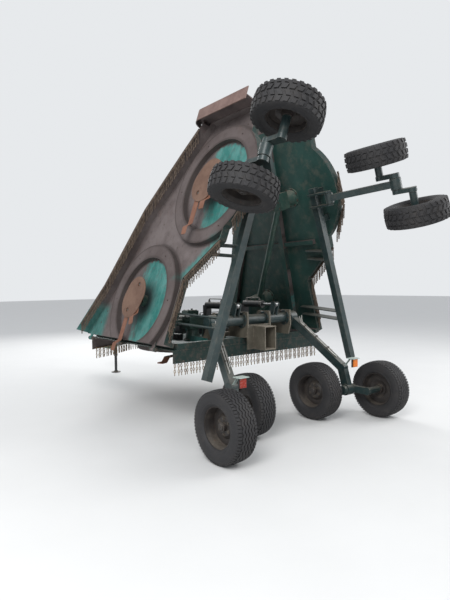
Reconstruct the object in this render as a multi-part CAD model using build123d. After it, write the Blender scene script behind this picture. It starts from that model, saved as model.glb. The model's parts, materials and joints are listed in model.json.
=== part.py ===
from build123d import *
import math
import os

# Towed rotary cutter with two folding wings, parked with both wings folded up past upright.
# All sizes are in millimetres. X is to the machine's right, Y is the way it travels, Z is up.
# The model is laid out with y = 0 at the axle line of the outer rear wheels and z = 0 on the ground,
# and is moved by the frame shifts at the end, so that the origin is at the middle of its footprint.

# Wheels
GROUND_TYRE_R = 380.0
GROUND_TYRE_W = 265.0
GROUND_RIM_R = 218.0
WING_TYRE_R = 360.0
WING_TYRE_W = 250.0
WING_RIM_R = 204.0
SPINDLE_R = 30.0
RIM_HUB_DEPTH = 48.0
RUNNING_GAP = 0.3
SIDE_GAP = 5.0

# Ground wheels and their walking beams
GROUND_HUB_X = 991.0
GROUND_HUB_Y = 254.5
GROUND_TRACK_HALF = 381.0
GROUND_BEAM_REACH = 254.5

# Lift axle: a cross tube with two cranked trailing arms
ROCKSHAFT_Y = 1060.0
ROCKSHAFT_Z = 1350.0
ROCKSHAFT_R = 70.0
ROCKSHAFT_HALF = 800.0
ARM_TOP_X = 720.0
ARM_KNEE_Y = 340.0
ARM_KNEE_Z = 670.0
ARM_W = 90.0
ARM_H = 110.0
LEVER_R = 200.0
LEVER_X = 350.0
LEVER_GAP = 36.0
LIFT_ROD_R = 20.0
LEVER_LEAN = 17.0

# Decks
DECK_Z = 1030.0
PLATE = 8.0
CUT_R = 765.0
DECK_RING_R = 790.0
RING_IN_R = 600.0
RING_RISE = 70.0
RING_DRAINS = 6
RING_DRAIN_R = 11.0
RIB_H = 80.0
SHAFT_RISE = 260.0
HINGE_X = 1370.0
HINGE_EDGE = 60.0
FOLD = 109.0
FRONT_SKIRT = 200.0
REAR_SKIRT = 90.0
CENTRE_ROTORS = {"centre_rear": (-450.0, 1860.0), "centre_front": (450.0, 3220.0)}
CENTRE_REAR_SKIRT = 150.0
REAR_MARGIN = 10.0
CENTRE_REAR_Y = CENTRE_ROTORS["centre_rear"][1] - DECK_RING_R - REAR_MARGIN
CENTRE_OUTLINE = [(1310, CENTRE_REAR_Y), (1310, 3560), (980, 3900), (700, 4030), (-300, 4030), (-980, 3560),
                  (-1310, 3400), (-1310, CENTRE_REAR_Y)]
WING_ROTORS = {"inner": (620.0, 1960.0), "outer": (2140.0, 970.0)}
WING_OUTLINE = [(60, 3450), (800, 2910), (1920, 2340), (2330, 2010), (2720, 1690), (3100, 1360), (3100, 480),
                (2860, 420), (1360, 500), (900, 1040), (60, 1060)]
WING_END_S = 3100.0

# Chain curtains, hung from a rail along the skirts; the rows are plan points on the outlines
WING_CHAIN_EDGE = [(170, 3369.7), (800, 2910), (1920, 2340), (2330, 2010), (2720, 1690), (3050, 1403.4)]
WING_REAR_INNER = [(1360, 500), (900, 1040), (230, 1056)]
REAR_ARC_STEP = 30.0
REAR_ARC = (-135.0, -105.0, -75.0)
CENTRE_CHAIN_EDGE = [(-1250, 3428), (-980, 3560), (-300, 4030), (700, 4030), (980, 3900), (1270, 3601.2)]
CHAIN_INSET = 12.0
CHAIN_DROP = 150.0
CHAIN_PITCH = 85.0
RAIL_THICK = 24.0
RAIL_DEPTH = 10.0
RAIL_TRIM = 8.0

# Hinges
HINGE_STATIONS = (1400.0, 2330.0, 3260.0)
HINGE_R = 28.0
HINGE_PIN_R = 15.0
HINGE_BARREL = 70.0
HINGE_LUG = 20.0

# Rotors
HUB_R = 58.0
HUB_TOP = 60.0
HUB_HOLE_R = 82.0
CARRIER_DROP = 165.0
CARRIER_T = 16.0
CARRIER_LONG = 620.0
CARRIER_WIDE = 300.0
PIVOT_R = 255.0
BLADE_W = 95.0
BLADE_T = 14.0
BLADE_CRANK = 60.0
ROTOR_TURN = {("inner", "left"): 160.0, ("outer", "left"): 143.0,
              ("inner", "right"): 95.0, ("outer", "right"): 40.0}

# Wing beam, wing wheel arm and its walking beam, in the wing's own flat frame
BEAM_Y = 420.0
BEAM_N = 170.0
BEAM_SIZE = 90.0
BEAM_START = -220.0
BEAM_END = 2220.0
WING_ARM_S = 2060.0
WING_PIVOT_Y = 160.0
WING_PIVOT_N = 210.0
WING_ARM_LEN = 840.0
WING_ARM_SIZE = 85.0
WING_ARM_ANGLE = {"left": 51.0, "right": 15.0}
WING_BEAM_REACH = 190.0
WING_TRACK_HALF = 366.0

# Fold cylinders and cross shafts
FOLD_CYL_Y = 2600.0
FOLD_LUG_S = 350.0
FOLD_LUG_N = 250.0
CYL_R = 50.0
CYL_BORE_R = 40.0
ROD_R = 25.0
BARREL_START = 160.0
BARREL_END = 960.0
ROD_START = 180.0
FOLD_PIN_R = 20.0
FOLD_LUG_OFF = 40.0
FOLD_LUG_T = 16.0
FOLD_EYE_R = 48.0
FOLD_EYE_HALF = 25.0
LIFT_PIN_R = 16.0
LIFT_EYE_R = 42.0
LIFT_EYE_HALF = 18.0
LIFT_SLOT_GAP = 1.5
SHAFT_END_S = 364.5
SHAFT_Y = 2015.0
SHAFT_GUARD_R = 48.0
SHAFT_R = 26.0
SHAFT_START = 150.0
SHAFT_GUARD_END = 925.0

# Drawbar, hitch and jack
DRAWBAR_ROOT_X = 560.0
DRAWBAR_ROOT_Y = 3760.0
DRAWBAR_ROOT_Z = 1118.0
DRAWBAR_ROOT_RISE = 98.0
TONGUE_Y = 5480.0
TONGUE_Z = 600.0
TONGUE_LEN = 470.0
HITCH_BORE_R = 25.5
HITCH_EYE_R = 62.0
HITCH_EYE_T = 40.0
PTO_BORE_R = 17.5
JACK_X = 170.0
JACK_Y = 5600.0

FRAME_SHIFT_X = -35.4
FRAME_SHIFT_Y = 2480.3

SIDES = {"left": -1, "right": 1}
PARTS = {}


def add(name, shape):
    PARTS[name] = shape


def joined(shapes):
    total = shapes[0]
    for shape in shapes[1:]:
        total = total + shape
    return total


def beam(start, end, width, height, side=(1, 0, 0)):
    """Box bar from start to end; width lies along the side direction."""
    a = Vector(*start)
    b = Vector(*end)
    run = b - a
    across = Vector(*side)
    across = across - run.normalized() * across.dot(run.normalized())
    plane = Plane(origin=a, x_dir=across, z_dir=run)
    return extrude(plane * Rectangle(width, height), run.length)


def rod(start, end, radius, bore=0.0):
    """Round bar or tube from start to end."""
    a = Vector(*start)
    run = Vector(*end) - a
    plane = Plane(origin=a, z_dir=run)
    section = Circle(radius)
    if bore:
        section = section - Circle(bore)
    return extrude(plane * section, run.length)


def block(low, high):
    size = [h - l for l, h in zip(low, high)]
    centre = [(h + l) / 2 for l, h in zip(low, high)]
    return Pos(*centre) * Box(*size)


def mirrored(shape):
    return mirror(shape, about=Plane.YZ)


def on_side(shape, side):
    return shape if side == "right" else mirrored(shape)


WING_PLACE = Location((HINGE_X, 0, DECK_Z)) * Rot(0, -FOLD, 0)


def on_wing(shape, side):
    """Moves a shape from the flat wing frame (S, Y, N) to its folded place."""
    return on_side(WING_PLACE * shape, side)


def wing_point(s, y, n):
    a = math.radians(FOLD)
    return (HINGE_X + s * math.cos(a) - n * math.sin(a), y, DECK_Z + s * math.sin(a) + n * math.cos(a))


# Wheels


def tyre(radius, width, rim_r):
    """Ribbed implement tyre about the X axis, centred at the origin."""
    half = width / 2
    groove = 10.0
    profile = [
        (rim_r, -half * 0.78), (rim_r + (radius - rim_r) * 0.45, -half), (radius - 30, -half * 0.96),
        (radius - 4, -half * 0.72), (radius, -half * 0.3), (radius - groove, -half * 0.22),
        (radius - groove, half * 0.22), (radius, half * 0.3), (radius - 4, half * 0.72), (radius - 30, half * 0.96),
        (rim_r + (radius - rim_r) * 0.45, half), (rim_r, half * 0.78),
    ]
    face = make_face(Polyline([(x, 0, z) for z, x in profile] + [(profile[0][1], 0, profile[0][0])]))
    return revolve(face, Axis.X)


def rim(rim_r, width, inward):
    """Dished steel rim with a flange each side, a disc and a bored hub; inward is the side of the beam."""
    half = width * 0.36
    wall = 8.0
    bore = SPINDLE_R + RUNNING_GAP
    edge = rim_r - RUNNING_GAP
    shell = [(-half, edge), (half, edge), (half, edge - wall), (half * 0.5, edge - wall * 2.5),
             (-half * 0.5, edge - wall * 2.5), (-half, edge - wall)]
    ring = revolve(make_face(Polyline([(x, 0, z) for x, z in shell + shell[:1]])), Axis.X)
    disc = [(8, bore), (8, edge * 0.45), (-20, edge * 0.62), (-20, edge - wall * 2), (-32, edge - wall * 2),
            (-32, edge * 0.58), (-6, edge * 0.38), (-6, 62), (-RIM_HUB_DEPTH, 56), (-RIM_HUB_DEPTH, bore)]
    web = revolve(make_face(Polyline([(x * -inward, 0, z) for x, z in disc + disc[:1]])), Axis.X)
    cap = rod((inward * -8, 0, 0), (inward * -40, 0, 0), 48.0)
    return ring + web + cap


def walking_beam(reach, half_track, pin_r, bush_half, outer_back=True):
    """Z-shaped walking beam about the X axis: the outer spindle is behind the pivot, the inner one ahead."""
    near = bush_half + SIDE_GAP
    far = near + 50.0
    spindle_end = half_track + 6.0
    pieces = [rod((-near - 10, 0, 0), (near + 10, 0, 0), pin_r)]
    for direction in (1, -1):
        y = -reach * direction if outer_back else reach * direction
        crank = beam((direction * (near + far) / 2, 0, 0), (direction * (near + far) / 2, y, 0), far - near, 90)
        hub = rod((direction * near, 0, 0), (direction * far, 0, 0), pin_r + 22)
        end = rod((direction * near, y, 0), (direction * far, y, 0), 52)
        neck = rod((direction * far, y, 0), (direction * (half_track - RIM_HUB_DEPTH - SIDE_GAP), y, 0), 44)
        spindle = rod((direction * far, y, 0), (direction * spindle_end, y, 0), SPINDLE_R)
        pieces += [crank, hub, end, neck, spindle]
    return joined(pieces)


def ground_gear():
    for side, sign in SIDES.items():
        place = Pos(GROUND_HUB_X, GROUND_HUB_Y, GROUND_TYRE_R)
        bar = walking_beam(GROUND_BEAM_REACH, GROUND_TRACK_HALF, 40.0, 65.0)
        add(f"walking_beam_{side}", on_side(place * bar, side))
        for name, out in (("outer", 1), ("inner", -1)):
            hub_y = GROUND_HUB_Y - out * GROUND_BEAM_REACH
            centre = Pos(GROUND_HUB_X + out * GROUND_TRACK_HALF, hub_y, GROUND_TYRE_R)
            add(f"tyre_{name}_{side}", on_side(centre * tyre(GROUND_TYRE_R, GROUND_TYRE_W, GROUND_RIM_R), side))
            add(f"rim_{name}_{side}", on_side(centre * rim(GROUND_RIM_R, GROUND_TYRE_W, -out), side))


def lift_axle():
    tube = rod((-ROCKSHAFT_HALF, ROCKSHAFT_Y, ROCKSHAFT_Z), (ROCKSHAFT_HALF, ROCKSHAFT_Y, ROCKSHAFT_Z), ROCKSHAFT_R)
    lean = math.radians(LEVER_LEAN)
    tip = (ROCKSHAFT_Y - LEVER_R * math.sin(lean), ROCKSHAFT_Z + LEVER_R * math.cos(lean))
    pieces = [tube]
    for sign in (-1, 1):
        for off in (-LEVER_GAP, LEVER_GAP):
            x = sign * LEVER_X + off
            pieces.append(beam((x, ROCKSHAFT_Y, ROCKSHAFT_Z), (x, *tip), 16, 90))
            pieces.append(rod((x - 8, *tip), (x + 8, *tip), 45))
        pieces.append(rod((sign * LEVER_X - 50, *tip), (sign * LEVER_X + 50, *tip), LIFT_PIN_R))
    add("rockshaft", joined(pieces))
    hub = (GROUND_HUB_X, GROUND_HUB_Y, GROUND_TYRE_R)
    knee = (GROUND_HUB_X, ARM_KNEE_Y, ARM_KNEE_Z)
    top = (ARM_TOP_X, ROCKSHAFT_Y, ROCKSHAFT_Z)
    collar = rod((ARM_TOP_X - 60, ROCKSHAFT_Y, ROCKSHAFT_Z), (ARM_TOP_X + 60, ROCKSHAFT_Y, ROCKSHAFT_Z),
                 ROCKSHAFT_R + 18, ROCKSHAFT_R + RUNNING_GAP)
    upper = beam(top, knee, ARM_W, ARM_H) - rod((ARM_TOP_X - 200, ROCKSHAFT_Y, ROCKSHAFT_Z),
                                                 (ARM_TOP_X + 200, ROCKSHAFT_Y, ROCKSHAFT_Z), ROCKSHAFT_R + 17)
    knee_joint = rod((GROUND_HUB_X - 45, ARM_KNEE_Y, ARM_KNEE_Z), (GROUND_HUB_X + 45, ARM_KNEE_Y, ARM_KNEE_Z), 62)
    lower = beam(knee, hub, ARM_W, ARM_H)
    bush = rod((GROUND_HUB_X - 65, *hub[1:]), (GROUND_HUB_X + 65, *hub[1:]), 76)
    hole = rod((GROUND_HUB_X - 70, *hub[1:]), (GROUND_HUB_X + 70, *hub[1:]), 40 + RUNNING_GAP)
    arm = collar + upper + knee_joint + lower + bush - hole
    add("trailing_arms", Compound([arm, mirrored(arm)]))
    stem = beam((1000, ARM_KNEE_Y - 30, 690), (1000, 208, 812), 40, 8)
    plate = block((930, 110, 808), (1070, 225, 816))
    bracket = stem + plate - arm
    add("lamp_brackets", Compound([bracket, mirrored(bracket)]))
    lamp = block((960, 125, 700), (1040, 165, 808 - RUNNING_GAP))
    add("tail_lamp_right", lamp)
    add("tail_lamp_left", mirrored(lamp))


# Decks


def deck_plan(outline, rotors, step=0.0):
    """Plan of a deck drawn in by a step: its outline joined with the circle of each rotor."""
    face = make_face(Polyline([(x, y, 0) for x, y in outline] + [(*outline[0], 0)]))
    if step:
        face = offset(face, -step, kind=Kind.INTERSECTION)
    for x, y in rotors:
        face = face + Pos(x, y, 0) * Circle(DECK_RING_R - step)
    return face


def blade_ring(x, y, span, inner_span):
    """Folded ring under the plate round one blade circle, and the hollow inside it with its drain holes."""
    place = Pos(x, y, 0)
    outer_r = DECK_RING_R - PLATE
    ring = extrude(place * (Circle(outer_r) - Circle(RING_IN_R)) & span, -RING_RISE)
    duct = extrude(place * (Circle(outer_r - PLATE) - Circle(RING_IN_R + PLATE)) & inner_span, PLATE - RING_RISE)
    drain = Pos((outer_r + RING_IN_R) / 2, 0, -RING_RISE) * Cylinder(RING_DRAIN_R, 2 * PLATE + 2)
    for k in range(RING_DRAINS):
        duct = duct + place * Rot(0, 0, 360 * (k + 0.5) / RING_DRAINS) * drain
    return ring, duct


def deck_shell(outline, rotors, inner_x, outer_x, front_depth, rear_depth):
    """Deck plate with its skirts and a folded ring round each blade circle, underside at z = 0.

    The skirts run round the outline between inner_x and outer_x, and are deep ahead of the rotors' middle.
    """
    middle = Pos((inner_x + outer_x) / 2, 2000, 0)
    span = middle * Rectangle(outer_x - inner_x, 6000)
    inner_span = middle * Rectangle(outer_x - inner_x - 2 * PLATE - 2, 6000)
    face = deck_plan(outline, rotors) & span
    hem = (deck_plan(outline, rotors) - deck_plan(outline, rotors, PLATE)) & inner_span
    split = sum(y for _, y in rotors) / len(rotors)
    front = extrude(hem & (Pos(0, split + 2500, 0) * Rectangle(9000, 5000)), -front_depth)
    shell = extrude(face, PLATE) + front + extrude(hem, -rear_depth)
    for x, y in rotors:
        ring, duct = blade_ring(x, y, span, inner_span)
        shell = shell + ring - duct
        shell = shell - Pos(x, y, 0) * Cylinder(HUB_HOLE_R, 60)
    return shell


def hinge_knuckles():
    """Wing half of the hinges: one barrel a station, in the flat wing frame."""
    pieces = []
    for y in HINGE_STATIONS:
        barrel = rod((0, y - HINGE_BARREL / 2, 0), (0, y + HINGE_BARREL / 2, 0), HINGE_R)
        tongue = block((0, y - HINGE_BARREL / 2, -14), (HINGE_EDGE + 40, y + HINGE_BARREL / 2, 0))
        hole = rod((0, y - 60, 0), (0, y + 60, 0), HINGE_PIN_R + RUNNING_GAP)
        pieces.append(barrel + tongue - hole)
    return pieces


def wing_deck():
    rotors = list(WING_ROTORS.values())
    shell = deck_shell(WING_OUTLINE, rotors, HINGE_EDGE, WING_END_S + PLATE, FRONT_SKIRT, REAR_SKIRT)
    pieces = [shell] + hinge_knuckles()
    edge = block((HINGE_EDGE, 1065, PLATE), (HINGE_EDGE + 60, 3380, PLATE + 50))
    spar = beam((HINGE_EDGE + 30, 1500, 45), (3050, 1130, 45), 90, 74, side=(0, 1, 0))
    front = beam((HINGE_EDGE + 30, 3050, 40), (2900, 1420, 40), 70, 64, side=(0, 1, 0))
    tie = beam((1480, 720, 36), (1480, 2380, 36), 60, 56)
    end = block((3020, 560, PLATE), (3080, 1340, PLATE + 40))
    for way in (-1, 1):
        y = FOLD_CYL_Y + way * FOLD_LUG_OFF
        lug = beam((190, y, PLATE), (FOLD_LUG_S, y, FOLD_LUG_N + 30), FOLD_LUG_T, 150, side=(0, 1, 0))
        pieces.append(lug & block((-100, 2000, PLATE - 1), (900, 3200, FOLD_LUG_N + 45)))
        head = (FOLD_LUG_S, y + way * (FOLD_LUG_T + 4), FOLD_LUG_N)
        pieces.append(rod((FOLD_LUG_S, y, FOLD_LUG_N), head, FOLD_PIN_R + 8))
    pieces += [edge, spar, front, tie, end]
    deck = joined(pieces)
    for x, y in WING_ROTORS.values():
        deck = deck - Pos(x, y, 0) * Cylinder(HUB_HOLE_R, 400)
        deck = deck - block((x - 150, y - 150, PLATE), (x + 150, y + 150, 500))
    return deck


def wing_skid():
    """Runner along the wing's outer end, turned up at its front."""
    depth = 290.0
    plate = block((WING_END_S + RUNNING_GAP, 470, -depth), (WING_END_S + 12, 1365, PLATE))
    nose = Pos(WING_END_S + 6.2, 1365, -depth + 140) * Rot(0, 90, 0) * Cylinder(140, 11.6)
    sole = block((3020, 430, -depth - 12), (3180, 1365, -depth))
    curl = Pos(3100, 1365, -depth + 140) * Rot(0, 90, 0) * (Cylinder(152, 160) - Cylinder(140, 161))
    curl = curl & block((3000, 1365, -depth - 20), (3200, 1600, -depth + 140))
    return plate + nose + sole + curl


def gearbox(x, y, base, up):
    """Right-angle gearbox standing on a deck: flange, flared foot, case and the boss that goes through the plate."""
    flange = Pos(x, y, base + 8) * Cylinder(135, 16)
    foot = Pos(x, y, base + 16 + 60) * Cone(115, 82, 120)
    case = Pos(x, y, base + up) * Box(230, 190, 170)
    boss = Pos(x, y, base - PLATE - 26) * Cylinder(78, 52 + 2 * PLATE)
    column = Pos(x, y, base + up / 2 + 8) * Cylinder(80, up - 10)
    return joined([flange, foot, column, case, boss])


def wing_gear():
    """Both wing gearboxes with the shaft between them, in the flat wing frame."""
    (xi, yi), (xo, yo) = WING_ROTORS["inner"], WING_ROTORS["outer"]
    rise = SHAFT_RISE - PLATE
    inner = gearbox(xi, yi, PLATE, rise)
    outer = gearbox(xo, yo, PLATE, rise)
    stub = rod((SHAFT_END_S + 60, SHAFT_Y, SHAFT_RISE), (xi - 100, SHAFT_Y, SHAFT_RISE), 24)
    yoke = rod((SHAFT_END_S + 45, SHAFT_Y, SHAFT_RISE), (SHAFT_END_S + 100, SHAFT_Y, SHAFT_RISE), 30)
    shaft = rod((xi + 60, yi - 40, SHAFT_RISE), (xo - 60, yo + 40, SHAFT_RISE), 40)
    return joined([inner, outer, stub, yoke, shaft])


def wing_beam():
    """Square beam behind the wing, its brackets to the deck and the ears of the wheel arm."""
    half = BEAM_SIZE / 2
    bar = block((BEAM_START, BEAM_Y - half, BEAM_N - half), (BEAM_END, BEAM_Y + half, BEAM_N + half))
    pieces = [bar]
    for s, front in ((430.0, 1250.0), (1300.0, 900.0)):
        for off in (-60, 60):
            web = make_face(Polyline((s + off - 6, BEAM_Y, BEAM_N + half), (s + off - 6, BEAM_Y, BEAM_N - half),
                                     (s + off - 6, front - 160, PLATE), (s + off - 6, front, PLATE),
                                     (s + off - 6, front, PLATE + 60), (s + off - 6, BEAM_Y, BEAM_N + half)))
            pieces.append(extrude(web, 12, dir=(1, 0, 0)))
    for s in (1800.0, 2160.0):
        pieces.append(block((s - 40, BEAM_Y - 40, PLATE), (s + 40, BEAM_Y + 40, BEAM_N)))
    for off in (-1, 1):
        inner = WING_ARM_S + off * (65 + SIDE_GAP)
        low = min(inner, inner + off * 22)
        ear = make_face(Polyline((low, BEAM_Y, BEAM_N - half), (low, WING_PIVOT_Y, WING_PIVOT_N - 48),
                                 (low, WING_PIVOT_Y - 48, WING_PIVOT_N), (low, WING_PIVOT_Y, WING_PIVOT_N + 48),
                                 (low, BEAM_Y + half, BEAM_N + half + 40), (low, BEAM_Y + half, BEAM_N - half),
                                 (low, BEAM_Y, BEAM_N - half)))
        pieces.append(extrude(ear, 22, dir=(1, 0, 0)))
    pin = rod((WING_ARM_S - 90, WING_PIVOT_Y, WING_PIVOT_N), (WING_ARM_S + 90, WING_PIVOT_Y, WING_PIVOT_N), 25)
    pieces.append(pin)
    return joined(pieces)


def wing_arm(angle):
    a = math.radians(angle)
    hub = (WING_ARM_S, WING_PIVOT_Y - WING_ARM_LEN * math.cos(a), WING_PIVOT_N - WING_ARM_LEN * math.sin(a))
    pivot = (WING_ARM_S, WING_PIVOT_Y, WING_PIVOT_N)
    bar = beam(pivot, hub, 80, WING_ARM_SIZE)
    top = rod((WING_ARM_S - 65, *pivot[1:]), (WING_ARM_S + 65, *pivot[1:]), 52)
    low = rod((WING_ARM_S - 65, *hub[1:]), (WING_ARM_S + 65, *hub[1:]), 66)
    hole = rod((WING_ARM_S - 70, *pivot[1:]), (WING_ARM_S + 70, *pivot[1:]), 25 + RUNNING_GAP)
    hole2 = rod((WING_ARM_S - 70, *hub[1:]), (WING_ARM_S + 70, *hub[1:]), 35 + RUNNING_GAP)
    return bar + top + low - hole - hole2, hub


def rotor(blade_angles, carrier_angle):
    """Blade carrier with its hub and swinging cranked blades; the deck's underside is z = 0."""
    top = -HUB_TOP - RUNNING_GAP
    low = -CARRIER_DROP
    hub = Pos(0, 0, (top + low) / 2) * Cylinder(HUB_R, top - low)
    skirt = Pos(0, 0, low + 22) * Cone(105, HUB_R, 44)
    half = (CARRIER_LONG - CARRIER_WIDE) / 2
    oval = make_hull(list((Pos(half, 0) * Circle(CARRIER_WIDE / 2)).edges()) +
                     list((Pos(-half, 0) * Circle(CARRIER_WIDE / 2)).edges()))
    plate = Rot(0, 0, carrier_angle) * Pos(0, 0, low - CARRIER_T) * extrude(oval, CARRIER_T)
    pieces = [hub, skirt, plate]
    length = CUT_R - PIVOT_R
    for sign, angle in zip((1, -1), blade_angles):
        a = math.radians(carrier_angle)
        px, py = sign * PIVOT_R * math.cos(a), sign * PIVOT_R * math.sin(a)
        z = low - CARRIER_T
        bolt = Pos(px, py, z) * Cylinder(28, 90)
        side = [(-50, z), (190, z), (270, z - BLADE_CRANK), (length, z - BLADE_CRANK),
                (length, z - BLADE_CRANK - BLADE_T), (262, z - BLADE_CRANK - BLADE_T), (182, z - BLADE_T),
                (-50, z - BLADE_T)]
        face = make_face(Polyline([(x, -BLADE_W / 2, q) for x, q in side + side[:1]]))
        blade = extrude(face, BLADE_W, dir=(0, 1, 0))
        pieces += [bolt, Pos(px, py, 0) * Rot(0, 0, angle) * blade]
    return joined(pieces)


def inset(points, distance):
    """Moves a row of plan points to the right of the way they run, with mitred corners."""
    runs = [(Vector(*b) - Vector(*a)).normalized() for a, b in zip(points, points[1:])]
    sides = [Vector(r.Y, -r.X) for r in runs]
    moved = []
    for i, point in enumerate(points):
        before, after = sides[max(i - 1, 0)], sides[min(i, len(sides) - 1)]
        half = (before + after).normalized()
        moved.append(Vector(*point) + half * (distance / half.dot(before)))
    return [(v.X, v.Y) for v in moved]


def curtains(points, drop, deck_up, thickness=14.0):
    """Chain curtains along a row of points, one a straight run: a rail square to the deck, hung with strands."""
    runs = []
    for a, b in zip(points, points[1:]):
        run = (Vector(*b) - Vector(*a)).normalized()
        a, b = Vector(*a) + run * RAIL_TRIM, Vector(*b) - run * RAIL_TRIM
        length = (b - a).length
        pieces = [beam(a, b, RAIL_DEPTH, RAIL_THICK, side=deck_up)]
        count = max(1, int(length // CHAIN_PITCH))
        for i in range(count):
            top = a + run * (length * (i + 0.5) / count)
            pieces.append(beam(top, top - Vector(0, 0, drop), thickness, thickness * 0.6, side=run))
        runs.append(joined(pieces))
    return runs


def rear_edge():
    """Row of plan points behind the wing's rear skirt, where it follows the outer blade circle."""
    x, y = WING_ROTORS["outer"]
    reach = (DECK_RING_R + RAIL_THICK / 2 + RUNNING_GAP) / math.cos(math.radians(REAR_ARC_STEP / 2))
    arc = [math.radians(a) for a in REAR_ARC]
    return [(x + reach * math.cos(a), y + reach * math.sin(a)) for a in arc]


def wings():
    for side, sign in SIDES.items():
        add(f"wing_deck_{side}", on_wing(wing_deck(), side))
        add(f"wing_skid_{side}", on_wing(wing_skid(), side))
        add(f"wing_gearboxes_{side}", on_wing(wing_gear(), side))
        add(f"wing_beam_{side}", on_wing(wing_beam(), side))
        arm, hub = wing_arm(WING_ARM_ANGLE[side])
        add(f"wing_arm_{side}", on_wing(arm, side))
        bar = walking_beam(WING_BEAM_REACH, WING_TRACK_HALF, 35.0, 65.0, outer_back=side == "left")
        add(f"wing_walking_beam_{side}", on_wing(Pos(*hub) * bar, side))
        for name, out in (("outer", 1), ("inner", -1)):
            back = out if side == "left" else -out
            centre = Pos(hub[0] + out * WING_TRACK_HALF, hub[1] - back * WING_BEAM_REACH, hub[2])
            add(f"wing_tyre_{name}_{side}", on_wing(centre * tyre(WING_TYRE_R, WING_TYRE_W, WING_RIM_R), side))
            add(f"wing_rim_{name}_{side}", on_wing(centre * rim(WING_RIM_R, WING_TYRE_W, -out), side))
        for name, (x, y) in WING_ROTORS.items():
            add(f"rotor_{name}_{side}", on_wing(Pos(x, y, 0) * rotor((180, 180), ROTOR_TURN[(name, side)]), side))
        rail_step = RAIL_THICK / 2 + RUNNING_GAP
        up = tuple(Vector(*wing_point(0, 0, 1)) - Vector(*wing_point(0, 0, 0)))
        rows = [(inset(WING_CHAIN_EDGE, PLATE + rail_step), FRONT_SKIRT),
                (inset(WING_REAR_INNER, -rail_step), REAR_SKIRT), (rear_edge(), REAR_SKIRT)]
        runs = []
        for edge, depth in rows:
            runs += curtains([wing_point(x, y, CHAIN_INSET - depth) for x, y in edge], CHAIN_DROP, up)
        add(f"wing_chains_{side}", on_side(Compound(runs), side))


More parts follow.
